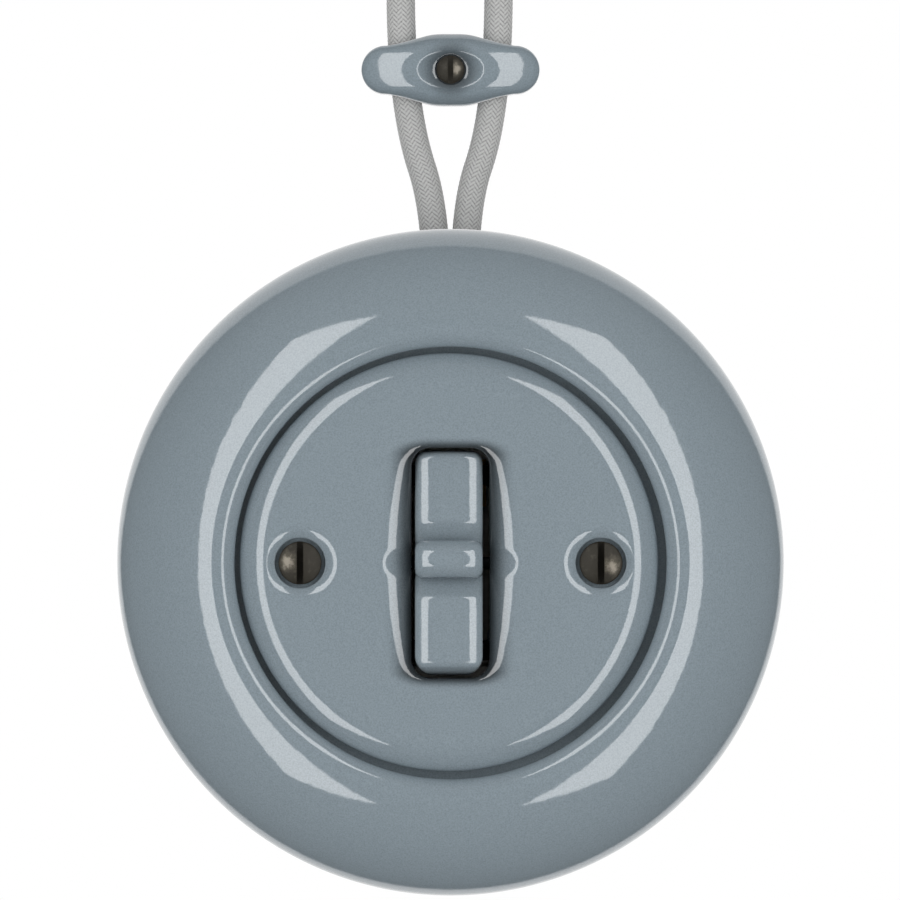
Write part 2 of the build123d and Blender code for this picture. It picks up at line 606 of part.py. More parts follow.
def wall_cap(x):
    """Round porcelain cap on the wall that a cord goes into from below."""
    edge = 2.6
    shoulder = ThreePointArc((CAP_R, -CAP_TOP + 5.0), (CAP_R - 1.5, -CAP_TOP + 1.3), (0, -CAP_TOP))
    outline = path_points([(0, CAP_TOP), (0, 0), (CAP_R, 0), (CAP_R, CAP_TOP - 5.0)]) + shoulder
    body = turned(outline, x, CAP_Z)
    hole_bottom = CAP_Z - CAP_R - edge
    hole = Cylinder(CORD_R + GRIP_CLEAR, CORD_END_Z - hole_bottom)
    return body - Pos(x, -CORD_DEPTH, (CORD_END_Z + hole_bottom) / 2) * hole


def save(name, shape):
    """Writes one node, one solid or a group of separate solids."""
    if isinstance(shape, list):
        shape = Compound(children=[item if isinstance(item, Solid) else item.solid() for item in shape])
    export_step(shape, f"parts/{name}.step")


def main():
    save("surround", surround())
    save("cover_plate", cover_plate())
    save("cover_screws", [raised_screw(3.85, WELL_FLOOR, 42.0, 43.1, 2.0, BOSS_BACK - 0.5, x, 0, 1.1)
                          for x in (-SCREW_X, SCREW_X)])
    save("rocker", Pos(ROCKER_X, 0, 0) * about_pivot(rocker()))
    save("rocker_carrier", Pos(ROCKER_X, 0, 0) * about_pivot(rocker_carrier()))
    save("pivot_pin", pivot_pin())
    save("plunger", Pos(ROCKER_X, 0, 0) * about_pivot(plunger()))
    save("plunger_spring", Pos(ROCKER_X, 0, 0) * about_pivot(plunger_spring()))
    save("contact_blade", about_blade(contact_blade()))
    save("blade_rivets", [about_blade(rivet) for rivet in blade_rivets()])
    save("fulcrum_bracket", fulcrum_bracket())
    save("fixed_contact", fixed_contact())
    save("contact_stop", contact_stop())
    save("switch_body", switch_body())
    save("body_screws", plain_screws([(-9.2, 13.5), (9.2, -13.5)], 2.6, TRAY_FLOOR, 1.8, 1.45, 1.6))
    save("wall_base", wall_base())
    save("mounting_frame", mounting_frame())
    corners = [(x, z) for x in (-PILLAR_X, PILLAR_X) for z in (-PILLAR_Z, PILLAR_Z)]
    save("frame_screws", plain_screws(corners, 2.9, FRAME_BACK + FRAME_THICK, 1.9, 1.45, 24))
    save("terminal_left", terminal(-1, CORD_ROUTES["cord_left"][0][0]))
    save("terminal_right", terminal(1, CORD_ROUTES["cord_right"][0][0]))
    save("terminal_screws", plain_screws([(-TERMINAL_X, TERMINAL_Z), (TERMINAL_X, TERMINAL_Z)], 2.2,
                                         TRAY_FLOOR + STRIP, 1.7, 1.25, 7.05, 0.6))
    save("core_ends", [Pos(route[0][0], -CORD_DEPTH, 28.4) * Cylinder(1.0, 6.8) for route in CORD_ROUTES.values()])
    save("cord_clamp", cord_clamp())
    save("clamp_screws", plain_screws([(-CLAMP_SCREW_X, CLAMP_Z), (CLAMP_SCREW_X, CLAMP_Z)], 2.4,
                                      BASE_THICK + CLAMP_STRAP, 1.7, 1.4, 1.6))
    for name, route in CORD_ROUTES.items():
        tube, length, radii = cord_tube(route, CORD_R)
        save(name, tube)
        section = math.pi * CORD_R ** 2
        print(name, "length", round(length, 2), "bend radii", [round(r, 1) for r in radii],
              "volume", round(tube.volume, 1), "expected", round(section * length, 1))
    save("wall_cap_left", wall_cap(CORD_ROUTES["cord_left"][-1][0]))
    save("wall_cap_right", wall_cap(CORD_ROUTES["cord_right"][-1][0]))
    save("cleat_base", cleat_base())
    save("cleat_cap", cleat_cap())
    save("cleat_screw", [raised_screw(2.55, CLIP_TOP - 2.6, CLIP_TOP - 2.0, CLIP_TOP - 1.0, 1.7, 0.6,
                                      0, CLIP_Z, 0.9)])


main()
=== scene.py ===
# %% [markdown]
# # A porcelain toggle switch in Blender
# The switch is a round glazed housing on a wall, with a glazed plate in its well, a rocker in the
# plate's slot, two dark slotted screws, and two braided cords that come down from a small glazed
# clip. The first step loads the measured model as a frame. Every piece below sits where that frame
# says, so the looks never move anything.

# %% Load the frame
import math

import bmesh
import bpy
from mathutils import Matrix, Vector, kdtree


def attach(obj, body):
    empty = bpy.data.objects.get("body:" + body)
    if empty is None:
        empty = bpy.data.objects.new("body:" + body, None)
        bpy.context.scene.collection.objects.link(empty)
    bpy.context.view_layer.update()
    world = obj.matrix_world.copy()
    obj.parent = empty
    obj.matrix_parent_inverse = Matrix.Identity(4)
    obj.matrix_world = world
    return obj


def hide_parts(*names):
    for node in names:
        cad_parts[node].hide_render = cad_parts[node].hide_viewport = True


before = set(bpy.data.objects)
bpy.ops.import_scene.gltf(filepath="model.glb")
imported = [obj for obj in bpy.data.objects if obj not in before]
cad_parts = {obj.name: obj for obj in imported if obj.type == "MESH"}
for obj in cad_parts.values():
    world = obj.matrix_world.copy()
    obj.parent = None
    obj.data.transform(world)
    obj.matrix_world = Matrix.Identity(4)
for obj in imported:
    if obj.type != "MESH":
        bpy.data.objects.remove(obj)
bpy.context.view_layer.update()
MM = 0.001

# %% [markdown]
# Thrown and pressed porcelain is easiest to describe by how far a point stands in front of the wall.
# So a point is written as across, depth and up, in millimetres, and one helper turns it into
# Blender's metres, with the front of the switch facing along minus Y.

# %% Places and arcs
def at(across, depth, up):
    """A point in front of the wall, from millimetres to metres."""
    return Vector((across, -depth, up)) * MM


def arc(centre, radius, tilt_from, tilt_to, steps):
    """Points of a turned profile, (radius, depth); tilt 0 faces the front and 90 faces outwards."""
    points = []
    for i in range(steps + 1):
        a = math.radians(tilt_from + (tilt_to - tilt_from) * i / steps)
        points.append((centre[0] + radius * math.sin(a), centre[1] + radius * math.cos(a)))
    return points


def finished(bm, name, body="housing", sharp=40.0):
    """Turns a bmesh into a smooth-shaded object that rides on a body of the frame."""
    mesh = bpy.data.meshes.new(name)
    bm.to_mesh(mesh)
    bm.free()
    obj = bpy.data.objects.new(name, mesh)
    bpy.context.scene.collection.objects.link(obj)
    mesh.shade_smooth()
    mesh.set_sharp_from_angle(angle=math.radians(sharp))
    if body:
        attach(obj, body)
    return obj


def spun(profile, steps, across=0.0, up=0.0):
    """Turns (radius, depth) points round an axis square to the wall."""
    bm = bmesh.new()
    verts = [bm.verts.new(at(r, d, 0)) for r, d in profile]
    edges = [bm.edges.new(pair) for pair in zip(verts, verts[1:])]
    bmesh.ops.spin(bm, geom=verts + edges, cent=(0, 0, 0), axis=(0, 1, 0), angle=math.radians(360),
                   steps=steps, use_merge=True, use_duplicate=False)
    bmesh.ops.remove_doubles(bm, verts=bm.verts, dist=1e-7)
    bmesh.ops.recalc_face_normals(bm, faces=bm.faces)
    bmesh.ops.translate(bm, verts=bm.verts, vec=at(across, 0, up))
    return bm


def box_of(across, depths, heights):
    """A box from ranges in millimetres."""
    bm = bmesh.new()
    bmesh.ops.create_cube(bm, size=1.0)
    size = Vector([high - low for low, high in (across, depths, heights)])
    middle = [(low + high) / 2 for low, high in (across, depths, heights)]
    bmesh.ops.scale(bm, verts=bm.verts, vec=size * MM)
    bmesh.ops.translate(bm, verts=bm.verts, vec=at(*middle))
    return bm


def cut(obj, cutter_bm, operation="DIFFERENCE", sharp=40.0):
    """Cuts a bmesh out of an object, and keeps large flat faces flat in the shading."""
    cutter = finished(cutter_bm, "cutter", body=None)
    step = obj.modifiers.new("cut", "BOOLEAN")
    step.object = cutter
    step.operation = operation
    step.solver = "EXACT"
    deps = bpy.context.evaluated_depsgraph_get()
    mesh = bpy.data.meshes.new_from_object(obj.evaluated_get(deps))
    obj.modifiers.clear()
    obj.data = mesh
    mesh.name = obj.name
    bpy.data.objects.remove(cutter)
    mesh.shade_smooth()
    mesh.set_sharp_from_angle(angle=math.radians(sharp))
    return obj


# %% [markdown]
# ## The glaze
# A porcelain glaze is a layer of coloured glass. Up close its colour has fine darker and lighter
# specks, and the surface is smooth but not perfectly flat. One noise gives the specks, and a faint
# bump stops the reflections from looking like steel. Round an opening the colour is painted darker
# with the distance to the opening, as painted shade for the shade that falls into the recess.

# %% Glaze material
GLAZE = (0.222, 0.268, 0.298)
GLAZE_DARK = (0.190, 0.232, 0.260)
GLAZE_LIGHT = tuple(1.10 * c for c in GLAZE)
# Where the painted shade round an opening begins, as a share of its reach inside the corner.
SHADE_START = 0.18


def nodes_of(name):
    """A new material with its node tree, shader and Object coordinates."""
    material = bpy.data.materials.new(name)
    material.use_nodes = True
    tree = material.node_tree
    shader = tree.nodes["Principled BSDF"]
    place = tree.nodes.new("ShaderNodeTexCoord")
    return material, tree, shader, place.outputs["Object"]


def noise(tree, where, scale, detail=2.0, roughness=0.5):
    """A noise texture in the piece's own coordinates; scale counts features in a metre."""
    node = tree.nodes.new("ShaderNodeTexNoise")
    node.inputs["Scale"].default_value = scale
    node.inputs["Detail"].default_value = detail
    node.inputs["Roughness"].default_value = roughness
    tree.links.new(where, node.inputs["Vector"])
    return node.outputs["Fac"]


def ramp(tree, value, stops):
    """A colour ramp from (position, colour) stops."""
    node = tree.nodes.new("ShaderNodeValToRGB")
    elements = node.color_ramp.elements
    while len(elements) < len(stops):
        elements.new(0.5)
    for element, (position, colour) in zip(elements, stops):
        element.position = position
        element.color = (*colour, 1.0)
    tree.links.new(value, node.inputs["Fac"])
    return node.outputs["Color"]


def bump(tree, shader, height, strength, distance):
    """Feeds a height into the shader's normal."""
    node = tree.nodes.new("ShaderNodeBump")
    node.inputs["Strength"].default_value = strength
    node.inputs["Distance"].default_value = distance
    tree.links.new(height, node.inputs["Height"])
    tree.links.new(node.outputs["Normal"], shader.inputs["Normal"])


def painted_opening_shade(tree, where, tint, centre, half, corner, reach, darkest, stretch=1.0):
    """Paints shade into a colour towards a rounded opening; its centre, half sizes and corner are in
    millimetres.
    """
    def vector_step(operation, first, second=None):
        node = tree.nodes.new("ShaderNodeVectorMath")
        node.operation = operation
        tree.links.new(first, node.inputs[0])
        if second is not None:
            node.inputs[1].default_value = second
        return node.outputs["Value" if operation == "LENGTH" else "Vector"]

    middle = (centre[0] * MM, 0, centre[1] * MM)
    inner = ((half[0] - corner) * MM, 1.0, (half[1] - corner / stretch) * MM)
    away = vector_step("ABSOLUTE", vector_step("SUBTRACT", where, middle))
    past = vector_step("MAXIMUM", vector_step("SUBTRACT", away, inner), (0, 0, 0))
    length = vector_step("LENGTH", vector_step("MULTIPLY", past, (1, 1, stretch)))
    near = tree.nodes.new("ShaderNodeMapRange")
    near.interpolation_type = "SMOOTHERSTEP"
    near.inputs["From Min"].default_value = (corner - SHADE_START * reach) * MM
    near.inputs["From Max"].default_value = (corner + reach) * MM
    near.inputs["To Min"].default_value = darkest
    near.inputs["To Max"].default_value = 1.0
    tree.links.new(length, near.inputs["Value"])
    shade = tree.nodes.new("ShaderNodeVectorMath")
    shade.operation = "SCALE"
    tree.links.new(tint, shade.inputs[0])
    tree.links.new(near.outputs["Result"], shade.inputs["Scale"])
    return shade.outputs["Vector"]


def glazed(name, opening_shade=None):
    """Coloured porcelain glaze with fine specks, and painted shade round an opening when one is given."""
    material, tree, shader, where = nodes_of(name)
    specks = noise(tree, where, 3600, 3.0, 0.62)
    tint = ramp(tree, specks, [(0.36, GLAZE_DARK), (0.50, GLAZE), (0.66, GLAZE_LIGHT)])
    if opening_shade:
        tint = painted_opening_shade(tree, where, tint, *opening_shade)
    tree.links.new(tint, shader.inputs["Base Color"])
    shader.inputs["Roughness"].default_value = 0.07
    shader.inputs["IOR"].default_value = 1.52
    bump(tree, shader, noise(tree, where, 420, 2.0), 0.05, 0.0004)
    return material


glaze = glazed("porcelain_glaze")
print("glaze", GLAZE)

# %% [markdown]
# ## The housing ring
# The ring is turned, so one profile spun round the axis is the true way to make it: a tight roll
# into the well, a crest, and a long dome that falls to an upright side. Inside it is a shell with a
# hanging wall and a ledge. The cords' gate is cut in the wall edge afterwards.

# %% Housing ring
RING_R = 60.0
FOOT_R = 59.1
CREST_R = 41.9
CREST_DEPTH = 44.0
INNER_ROLL = 3.3
ROLL_TILT = 17.0
SHELL = 5.2
LEDGE_DEPTH = 37.0
LEDGE_R = 34.6
LEDGE_THICK = 3.8

s17, c17 = math.sin(math.radians(ROLL_TILT)), math.cos(math.radians(ROLL_TILT))
dome_r = (RING_R - CREST_R - INNER_ROLL * s17) / (1 - s17)
roll_centre = (CREST_R, CREST_DEPTH - INNER_ROLL)
dome_centre = (CREST_R + (INNER_ROLL - dome_r) * s17, roll_centre[1] + (INNER_ROLL - dome_r) * c17)


def ring_profile():
    """The ring's closed section."""
    well_r = CREST_R - INNER_ROLL
    skin = arc(roll_centre, INNER_ROLL, -90, ROLL_TILT, 26)
    skin += arc(dome_centre, dome_r, ROLL_TILT, 90, 44)[1:]
    belt = dome_centre[1]
    for i in range(1, 9):
        t = i / 8
        skin.append((RING_R - (RING_R - FOOT_R) * t * t, belt + (0.9 - belt) * t))
    skin += arc((FOOT_R - 0.9, 0.9), 0.9, 90, 180, 5)[1:]
    skin += [(RING_R - SHELL, 0), (RING_R - SHELL, belt)]
    shell_arc = arc(dome_centre, dome_r - SHELL, 90, 22, 16)
    skin += shell_arc[1:]
    hang_r = shell_arc[-1][0]
    skin += [(hang_r, LEDGE_DEPTH - LEDGE_THICK), (LEDGE_R, LEDGE_DEPTH - LEDGE_THICK),
             (LEDGE_R, LEDGE_DEPTH), (well_r, LEDGE_DEPTH), skin[0]]
    return skin


def gate_cutter():
    """Rounded oblong gate for the two cords under the ring's upper edge."""
    bm = box_of((-6.8, 6.8), (-1.0, 9.4), (RING_R - 14, RING_R + 6))
    upright = [e for e in bm.edges
               if abs((e.verts[0].co - e.verts[1].co).z) > 0.01 and e.verts[0].co.y < -0.005]
    bmesh.ops.bevel(bm, geom=upright, offset=0.001, segments=3, profile=0.5, affect="EDGES", material=-1)
    return bm


ring = finished(spun(ring_profile(), 256), "housing_ring", sharp=35)
cut(ring, gate_cutter(), sharp=35)
ring.data.materials.append(glaze)
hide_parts("surround")
print("ring faces", len(ring.data.polygons), "dome radius", round(dome_r, 2))

# %% [markdown]
# ## The cover plate
# The plate is turned too, but its slot isn't round: the glaze rolls over a boat-shaped lip into an
# upright slot. One way is to cut the slot from a disc, and the shading then breaks at the cut. Here
# the mesh grows from the slot instead: a ring of vertices is extruded outwards again and again, and
# each new ring takes the outline that the surface has there, from the slot, over the lip, to the
# round edge and back along the underside.

# %% Cover plate outlines
PLATE_R = 37.45
PLATE_OFF_X = -0.3
PLATE_OFF_Z = 0.15
PLATE_FACE = 43.4
PLATE_FLAT_R = 26.0
SHOULDER_R = 31.75
SHOULDER_TILT = 4.0
EDGE_TILT = 45.0
PLATE_EDGE = 1.6
PLATE_BACK = 37.6
SLOT_W = 13.9
SLOT_H = 41.2
SLOT_CORNER = 3.4
LIP_DROP_MIDDLE = 3.9
LIP_DROP_END = 1.2
LIP_W = 25.0
LIP_SHOULDER_W = 22.0
LIP_H = 45.4
LIP_CORNER = 5.2
LIP_START_TILT = 20.0
SADDLE_OUT = 12.2
SADDLE_SLOPE = 0.5
SADDLE_R = 7.0
SADDLE_SOFT = 0.12
# How far the painted shade reaches out from the slot over the lip.
SLOT_SHADE_REACH = 5.2
AROUND = 400


def along_arc(centre, radius, start, end, count):
    """Evenly spaced points on an arc, its end left out."""
    return [(centre[0] + radius * math.cos(start + (end - start) * i / count),
             centre[1] + radius * math.sin(start + (end - start) * i / count)) for i in range(count)]


def along_line(start, end, count):
    """Evenly spaced points on a line, its end left out."""
    return [(start[0] + (end[0] - start[0]) * i / count, start[1] + (end[1] - start[1]) * i / count)
            for i in range(count)]


def oblong(half_mid, half_end, half_up, corner):
    """Outline with bowed long sides and round corners, anticlockwise from the lower right."""
    z, x = half_up - corner, half_end - corner
    bow = max(half_mid - half_end, 0.001)
    bow_r = (z * z + bow * bow) / (2 * bow)
    bow_a = math.asin(z / bow_r)
    side, turn = AROUND * 28 // 100, AROUND * 7 // 100
    end = AROUND // 2 - side - 2 * turn
    right = along_arc((half_mid - bow_r, 0), bow_r, -bow_a, bow_a, side)
    right += along_arc((x, z), corner, 0, math.pi / 2, turn)
    right += along_line((x, half_up), (-x, half_up), end)
    right += along_arc((-x, z), corner, math.pi / 2, math.pi, turn)
    return right + [(-px, -pz) for px, pz in right]


def lip_ring(share):
    """Outline between the slot (share 0) and the lip's outer edge (share 1)."""
    def mix(a, b):
        return a + (b - a) * share
    return oblong(mix(SLOT_W, LIP_W) / 2, mix(SLOT_W, LIP_SHOULDER_W) / 2, mix(SLOT_H, LIP_H) / 2,
                  mix(SLOT_CORNER, LIP_CORNER))


def saddle_depth(x, z):
    """Depth of the shallow groove that slopes down across the lip; far above the face outside it."""
    return PLATE_FACE + SADDLE_SLOPE * (abs(x) - SADDLE_OUT) + z * z / (2 * SADDLE_R)


def lip_drop(z):
    """How deep the lip falls into the slot, less towards the slot's ends."""
    return max(LIP_DROP_MIDDLE - (LIP_DROP_MIDDLE - LIP_DROP_END) * (z / (SLOT_H / 2)) ** 2, LIP_DROP_END)


def softest(a, b, soft):
    """The smaller of two depths, with a rounded meeting line."""
    h = max(soft - abs(a - b), 0.0) / soft
    return min(a, b) - h * h * soft / 4


def grow_rings(rings, values="unused"):
    """A mesh grown from its first ring: each later ring is an extrusion moved to its outline."""
    bm = bmesh.new()
    bm.verts.layers.float.new(values)
    made = bmesh.ops.create_circle(bm, cap_ends=False, segments=len(rings[0]), radius=1.0)
    current = list(made["verts"])
    loop = [current[0]]
    while len(loop) < len(current):
        here = loop[-1]
        near = [e.other_vert(here) for e in here.link_edges if e.other_vert(here) not in loop[-2:]]
        loop.append(near[0])
    for vert, place in zip(loop, rings[0]):
        vert.co = place
    loops = [loop]
    for ring_points in rings[1:]:
        edges = [bm.edges.get((a, b)) for a, b in zip(loop, loop[1:] + loop[:1])]
        grown = set(g for g in bmesh.ops.extrude_edge_only(bm, edges=edges)["geom"]
                    if isinstance(g, bmesh.types.BMVert))
        loop = [next(e.other_vert(v) for e in v.link_edges if e.other_vert(v) in grown) for v in loop]
        for vert, place in zip(loop, ring_points):
            vert.co = place
        loops.append(loop)
    return bm, loops


# %% Cover plate mesh
def plate_rings():
    """All outlines of the plate in order, as points in metres."""
    start = math.radians(LIP_START_TILT)
    rings = [[at(x, PLATE_BACK, z) for x, z in lip_ring(0)],
             [at(x, 38.8, z) for x, z in lip_ring(0)]]
    tilts = [90 - (90 - LIP_START_TILT) * i / 18 for i in range(19)]
    for tilt in tilts:
        a = math.radians(tilt)
        share = (1 - math.sin(a)) / (1 - math.sin(start))
        turn = (math.cos(start) - math.cos(a)) / math.cos(start)
        rings.append([at(x, softest(PLATE_FACE - lip_drop(z) * turn, saddle_depth(x, z), SADDLE_SOFT), z)
                      for x, z in lip_ring(share)])
    outer = lip_ring(1)
    angles = [math.atan2(z, x) for x, z in outer]
    for share in (0.04, 0.10, 0.2, 0.4, 0.7, 1.0):
        places = []
        for (x, z), angle in zip(outer, angles):
            px = x + (PLATE_FLAT_R * math.cos(angle) - x) * share
            pz = z + (PLATE_FLAT_R * math.sin(angle) - z) * share
            places.append(at(px, softest(PLATE_FACE, saddle_depth(px, pz), SADDLE_SOFT), pz))
        rings.append(places)
    for r, d in plate_edge_profile():
        rings.append([at(r * math.cos(angle) + PLATE_OFF_X, d, r * math.sin(angle) + PLATE_OFF_Z)
                      for angle in angles])
    rings.append([at(x, PLATE_BACK, z) for x, z in lip_ring(0.6)])
    return rings


def plate_edge_profile():
    """Shoulder, round edge and underside of the plate, as (radius, depth)."""
    s0, c0 = math.sin(math.radians(SHOULDER_TILT)), math.cos(math.radians(SHOULDER_TILT))
    s1, c1 = math.sin(math.radians(EDGE_TILT)), math.cos(math.radians(EDGE_TILT))
    first_r = (SHOULDER_R - PLATE_FLAT_R) / s0
    roll_r = (PLATE_R - SHOULDER_R - PLATE_EDGE * (1 - s1)) / (s1 - s0)
    shoulder_d = PLATE_FACE - first_r * (1 - c0)
    second = (SHOULDER_R - roll_r * s0, shoulder_d - roll_r * c0)
    third = (second[0] + (roll_r - PLATE_EDGE) * s1, second[1] + (roll_r - PLATE_EDGE) * c1)
    edge = arc((PLATE_FLAT_R, PLATE_FACE - first_r), first_r, 0, SHOULDER_TILT, 10)[1:]
    edge += arc(second, roll_r, SHOULDER_TILT, EDGE_TILT, 26)[1:]
    edge += arc(third, PLATE_EDGE, EDGE_TILT, 90, 10)[1:]
    return edge + [(PLATE_R, LEDGE_DEPTH), (LEDGE_R + 0.3, LEDGE_DEPTH), (LEDGE_R - 0.3, PLATE_BACK)]


def plate_mesh():
    """The closed plate before its screw wells are cut."""
    bm, loops = grow_rings(plate_rings())
    bmesh.ops.bridge_loops(bm, edges=[e for e in bm.edges if e.is_boundary])
    bmesh.ops.recalc_face_normals(bm, faces=bm.faces)
    print("plate grown in", len(loops), "rings")
    return bm


WELL_BORE = 4.55
WELL_MOUTH = 7.75
WELL_FLOOR = 40.4
WELL_LIP = 4.5
SCREW_X = 26.9
PLATE_HOLE = 2.3


def well_cutter(across):
    """Trumpet-shaped screw well with its through hole."""
    steepest = math.degrees(math.asin((WELL_MOUTH - WELL_BORE) / WELL_LIP))
    lip = arc((WELL_MOUTH, PLATE_FACE - WELL_LIP), WELL_LIP, -steepest, -2, 14)
    profile = [(0, PLATE_BACK - 1), (PLATE_HOLE, PLATE_BACK - 1), (PLATE_HOLE, WELL_FLOOR),
               (WELL_BORE - 0.4, WELL_FLOOR)]
    profile += arc((WELL_BORE - 0.4, WELL_FLOOR + 0.4), 0.4, 180, 90, 4)[1:]
    profile += lip + [(lip[-1][0] + 0.02, PLATE_FACE + 2), (0, PLATE_FACE + 2)]
    return spun(profile, 96, across)


plate = finished(plate_mesh(), "cover_disc", sharp=35)
cut(plate, box_of((-12, 12), (PLATE_BACK - 1, 39.0), (-4.0, 4.0)), sharp=35)
for side in (-1, 1):
    cut(plate, well_cutter(side * SCREW_X), sharp=35)
even = plate.modifiers.new("even shading", "WEIGHTED_NORMAL")
even.mode = "FACE_AREA"
even.keep_sharp = True
# Painted shade: the plate's glaze colour is darkened towards the slot.
SLOT_PAINTED_SHADE = ((0, 0), (SLOT_W / 2, SLOT_H / 2), SLOT_CORNER, SLOT_SHADE_REACH, 0.08, 2.4)
plate.data.materials.append(glazed("plate_glaze", SLOT_PAINTED_SHADE))
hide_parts("cover_plate")
print("plate faces", len(plate.data.polygons))

# %% [markdown]
# ## The rocker
# The rocker is one side profile, two flat paddles with a round ridge between them, carried over a
# crown from left to right. A grid does this well: its rows follow the side profile and its columns
# follow the crown, closer together where the surface turns. The rim is then pulled down to the
# wall side. It is drawn about its pivot and then tipped into the position of the photograph.

# %% Rocker
PIVOT_DEPTH = 36.9
REST_TILT = -6.5
ROCKER_X = -0.3
ROCKER_HALF_W = 6.05
ROCKER_END_R = 20.2
ROCKER_CORNER = 3.0
PADDLE_OUT = 6.85
PADDLE_END = 1.6
RIDGE_OUT = 6.9
RIDGE_R = 3.3
RIDGE_END = 1.3
VALLEY_START = 7.5
VALLEY_ROLL = 2.0
VALLEY_TILT = 33.0
VALLEY_FOOT = 3.25
CROWN_POWER = 2.85
CROWN_FALL = 0.00803
ROCKER_EDGE = 0.85
RIDGE_STEPS = 18


def rocker_profile(ridge_r):
    """Half of the side profile as (up, out), from the ridge's top to the end."""
    tilt = math.radians(VALLEY_TILT)
    brow_up = VALLEY_START - VALLEY_ROLL * math.sin(tilt)
    brow_out = PADDLE_OUT - VALLEY_ROLL * (1 - math.cos(tilt))
    foot_up = VALLEY_FOOT - (RIDGE_R - ridge_r)
    foot_out = brow_out - (brow_up - foot_up) * math.tan(tilt)
    turns = [math.pi / 2 * i / RIDGE_STEPS for i in range(RIDGE_STEPS + 1)]
    points = [(ridge_r * math.sin(a), RIDGE_OUT + ridge_r * math.cos(a)) for a in turns]
    points += [(ridge_r + (foot_up - ridge_r) * i / 3, RIDGE_OUT + (foot_out - RIDGE_OUT) * i / 3)
               for i in range(1, 4)]
    points += [(foot_up + (brow_up - foot_up) * i / 10, foot_out + (brow_out - foot_out) * i / 10)
               for i in range(1, 11)]
    for i in range(1, 6):
        a = tilt * (1 - i / 5)
        points.append((VALLEY_START - VALLEY_ROLL * math.sin(a),
                       PADDLE_OUT - VALLEY_ROLL * (1 - math.cos(a))))
    end_out = PADDLE_OUT - PADDLE_END
    end_up = math.sqrt((ROCKER_END_R - PADDLE_END) ** 2 - end_out ** 2)
    points += [(VALLEY_START + (end_up - VALLEY_START) * i / 24, PADDLE_OUT) for i in range(1, 25)]
    end_a = math.atan2(end_out, end_up)
    for i in range(1, 11):
        a = math.pi / 2 + (end_a - math.pi / 2) * i / 10
        points.append((end_up + PADDLE_END * math.cos(a), end_out + PADDLE_END * math.sin(a)))
    points += [(ROCKER_END_R * math.cos(end_a * (1 - i / 8)), ROCKER_END_R * math.sin(end_a * (1 - i / 8)))
               for i in range(1, 9)]
    return points


def edge_drop(inset, radius):
    """How far a rounded edge has fallen at this distance inside the rim."""
    return radius - math.sqrt(radius ** 2 - max(radius - inset, 0.0) ** 2)


def rocker_columns():
    """Across positions from -1 to 1, closer together at the rounded rim."""
    flat = 1 - RIDGE_END / ROCKER_HALF_W
    half = [flat * i / 20 for i in range(21)]
    half += [flat + (1 - flat) * math.sin(math.radians(7.5 * i)) for i in range(1, 13)]
    return [-x for x in reversed(half[1:])] + half


def rocker_half_width(up):
    """Half of the plan's width at this height, with its round corners."""
    past = abs(up) - (ROCKER_END_R - ROCKER_CORNER)
    if past <= 0:
        return ROCKER_HALF_W
    return ROCKER_HALF_W - ROCKER_CORNER + math.sqrt(max(ROCKER_CORNER ** 2 - past ** 2, 0.0))


def rocker_mesh():
    """The rocker's front as a grid, its rim drawn back to the wall side and closed."""
    columns = rocker_columns()
    sides = []
    for share in columns:
        half = rocker_profile(RIDGE_R - edge_drop(ROCKER_HALF_W * (1 - abs(share)), RIDGE_END))
        sides.append([(-up, out) for up, out in reversed(half[1:])] + half)
    middle = len(sides[0]) // 2
    bm = bmesh.new()
    bmesh.ops.create_grid(bm, x_segments=len(columns) - 1, y_segments=len(sides[0]) - 1, size=1.0)
    assert len(bm.verts) == len(sides[0]) * len(columns), len(bm.verts)
    grid = sorted(bm.verts, key=lambda v: (round(v.co.y, 5), round(v.co.x, 5)))
    for index, vert in enumerate(grid):
        row, column = divmod(index, len(columns))
        up, out = sides[column][row]
        across = columns[column] * rocker_half_width(up)
        crowned = out - CROWN_FALL * abs(across) ** CROWN_POWER
        paddle = min(max(abs(row - middle) - RIDGE_STEPS, 0), 3) / 3
        drop = paddle * edge_drop(ROCKER_HALF_W * (1 - abs(columns[column])), ROCKER_EDGE)
        vert.co = at(across, max(crowned - drop, 0.0), up)
    rim = [e for e in bm.edges if e.is_boundary]
    pulled = bmesh.ops.extrude_edge_only(bm, edges=rim)["geom"]
    for vert in (g for g in pulled if isinstance(g, bmesh.types.BMVert)):
        vert.co.y = 0.0
    bmesh.ops.holes_fill(bm, edges=[e for e in bm.edges if e.is_boundary])
    bmesh.ops.remove_doubles(bm, verts=bm.verts, dist=1e-6)
    bmesh.ops.recalc_face_normals(bm, faces=bm.faces)
    tip = Matrix.Translation(at(ROCKER_X, PIVOT_DEPTH, 0)) @ Matrix.Rotation(math.radians(REST_TILT), 4, "X")
    bmesh.ops.transform(bm, matrix=tip, verts=bm.verts)
    return bm


rocker = finished(rocker_mesh(), "rocker_key", "rocker", sharp=35)
rocker.data.materials.append(glaze)
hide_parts("rocker")
print("rocker faces", len(rocker.data.polygons))

# %% [markdown]
# ## Slotted screws
# The screws are turned brass that was darkened on purpose, and the driver has rubbed a lighter patch
# on each. The head is a short rim and a low dome, spun, and the slot is cut out of it with a box.
# The finish goes from dark patina to bare metal by the distance to the rubbed spot, and a noise
# makes that edge ragged.

# %% Screw finish and screws
PATINA = (0.022, 0.019, 0.013)
PATINA_THIN = (0.055, 0.049, 0.037)
PATINA_WORN = (0.16, 0.145, 0.12)
RUBBED = 0.62


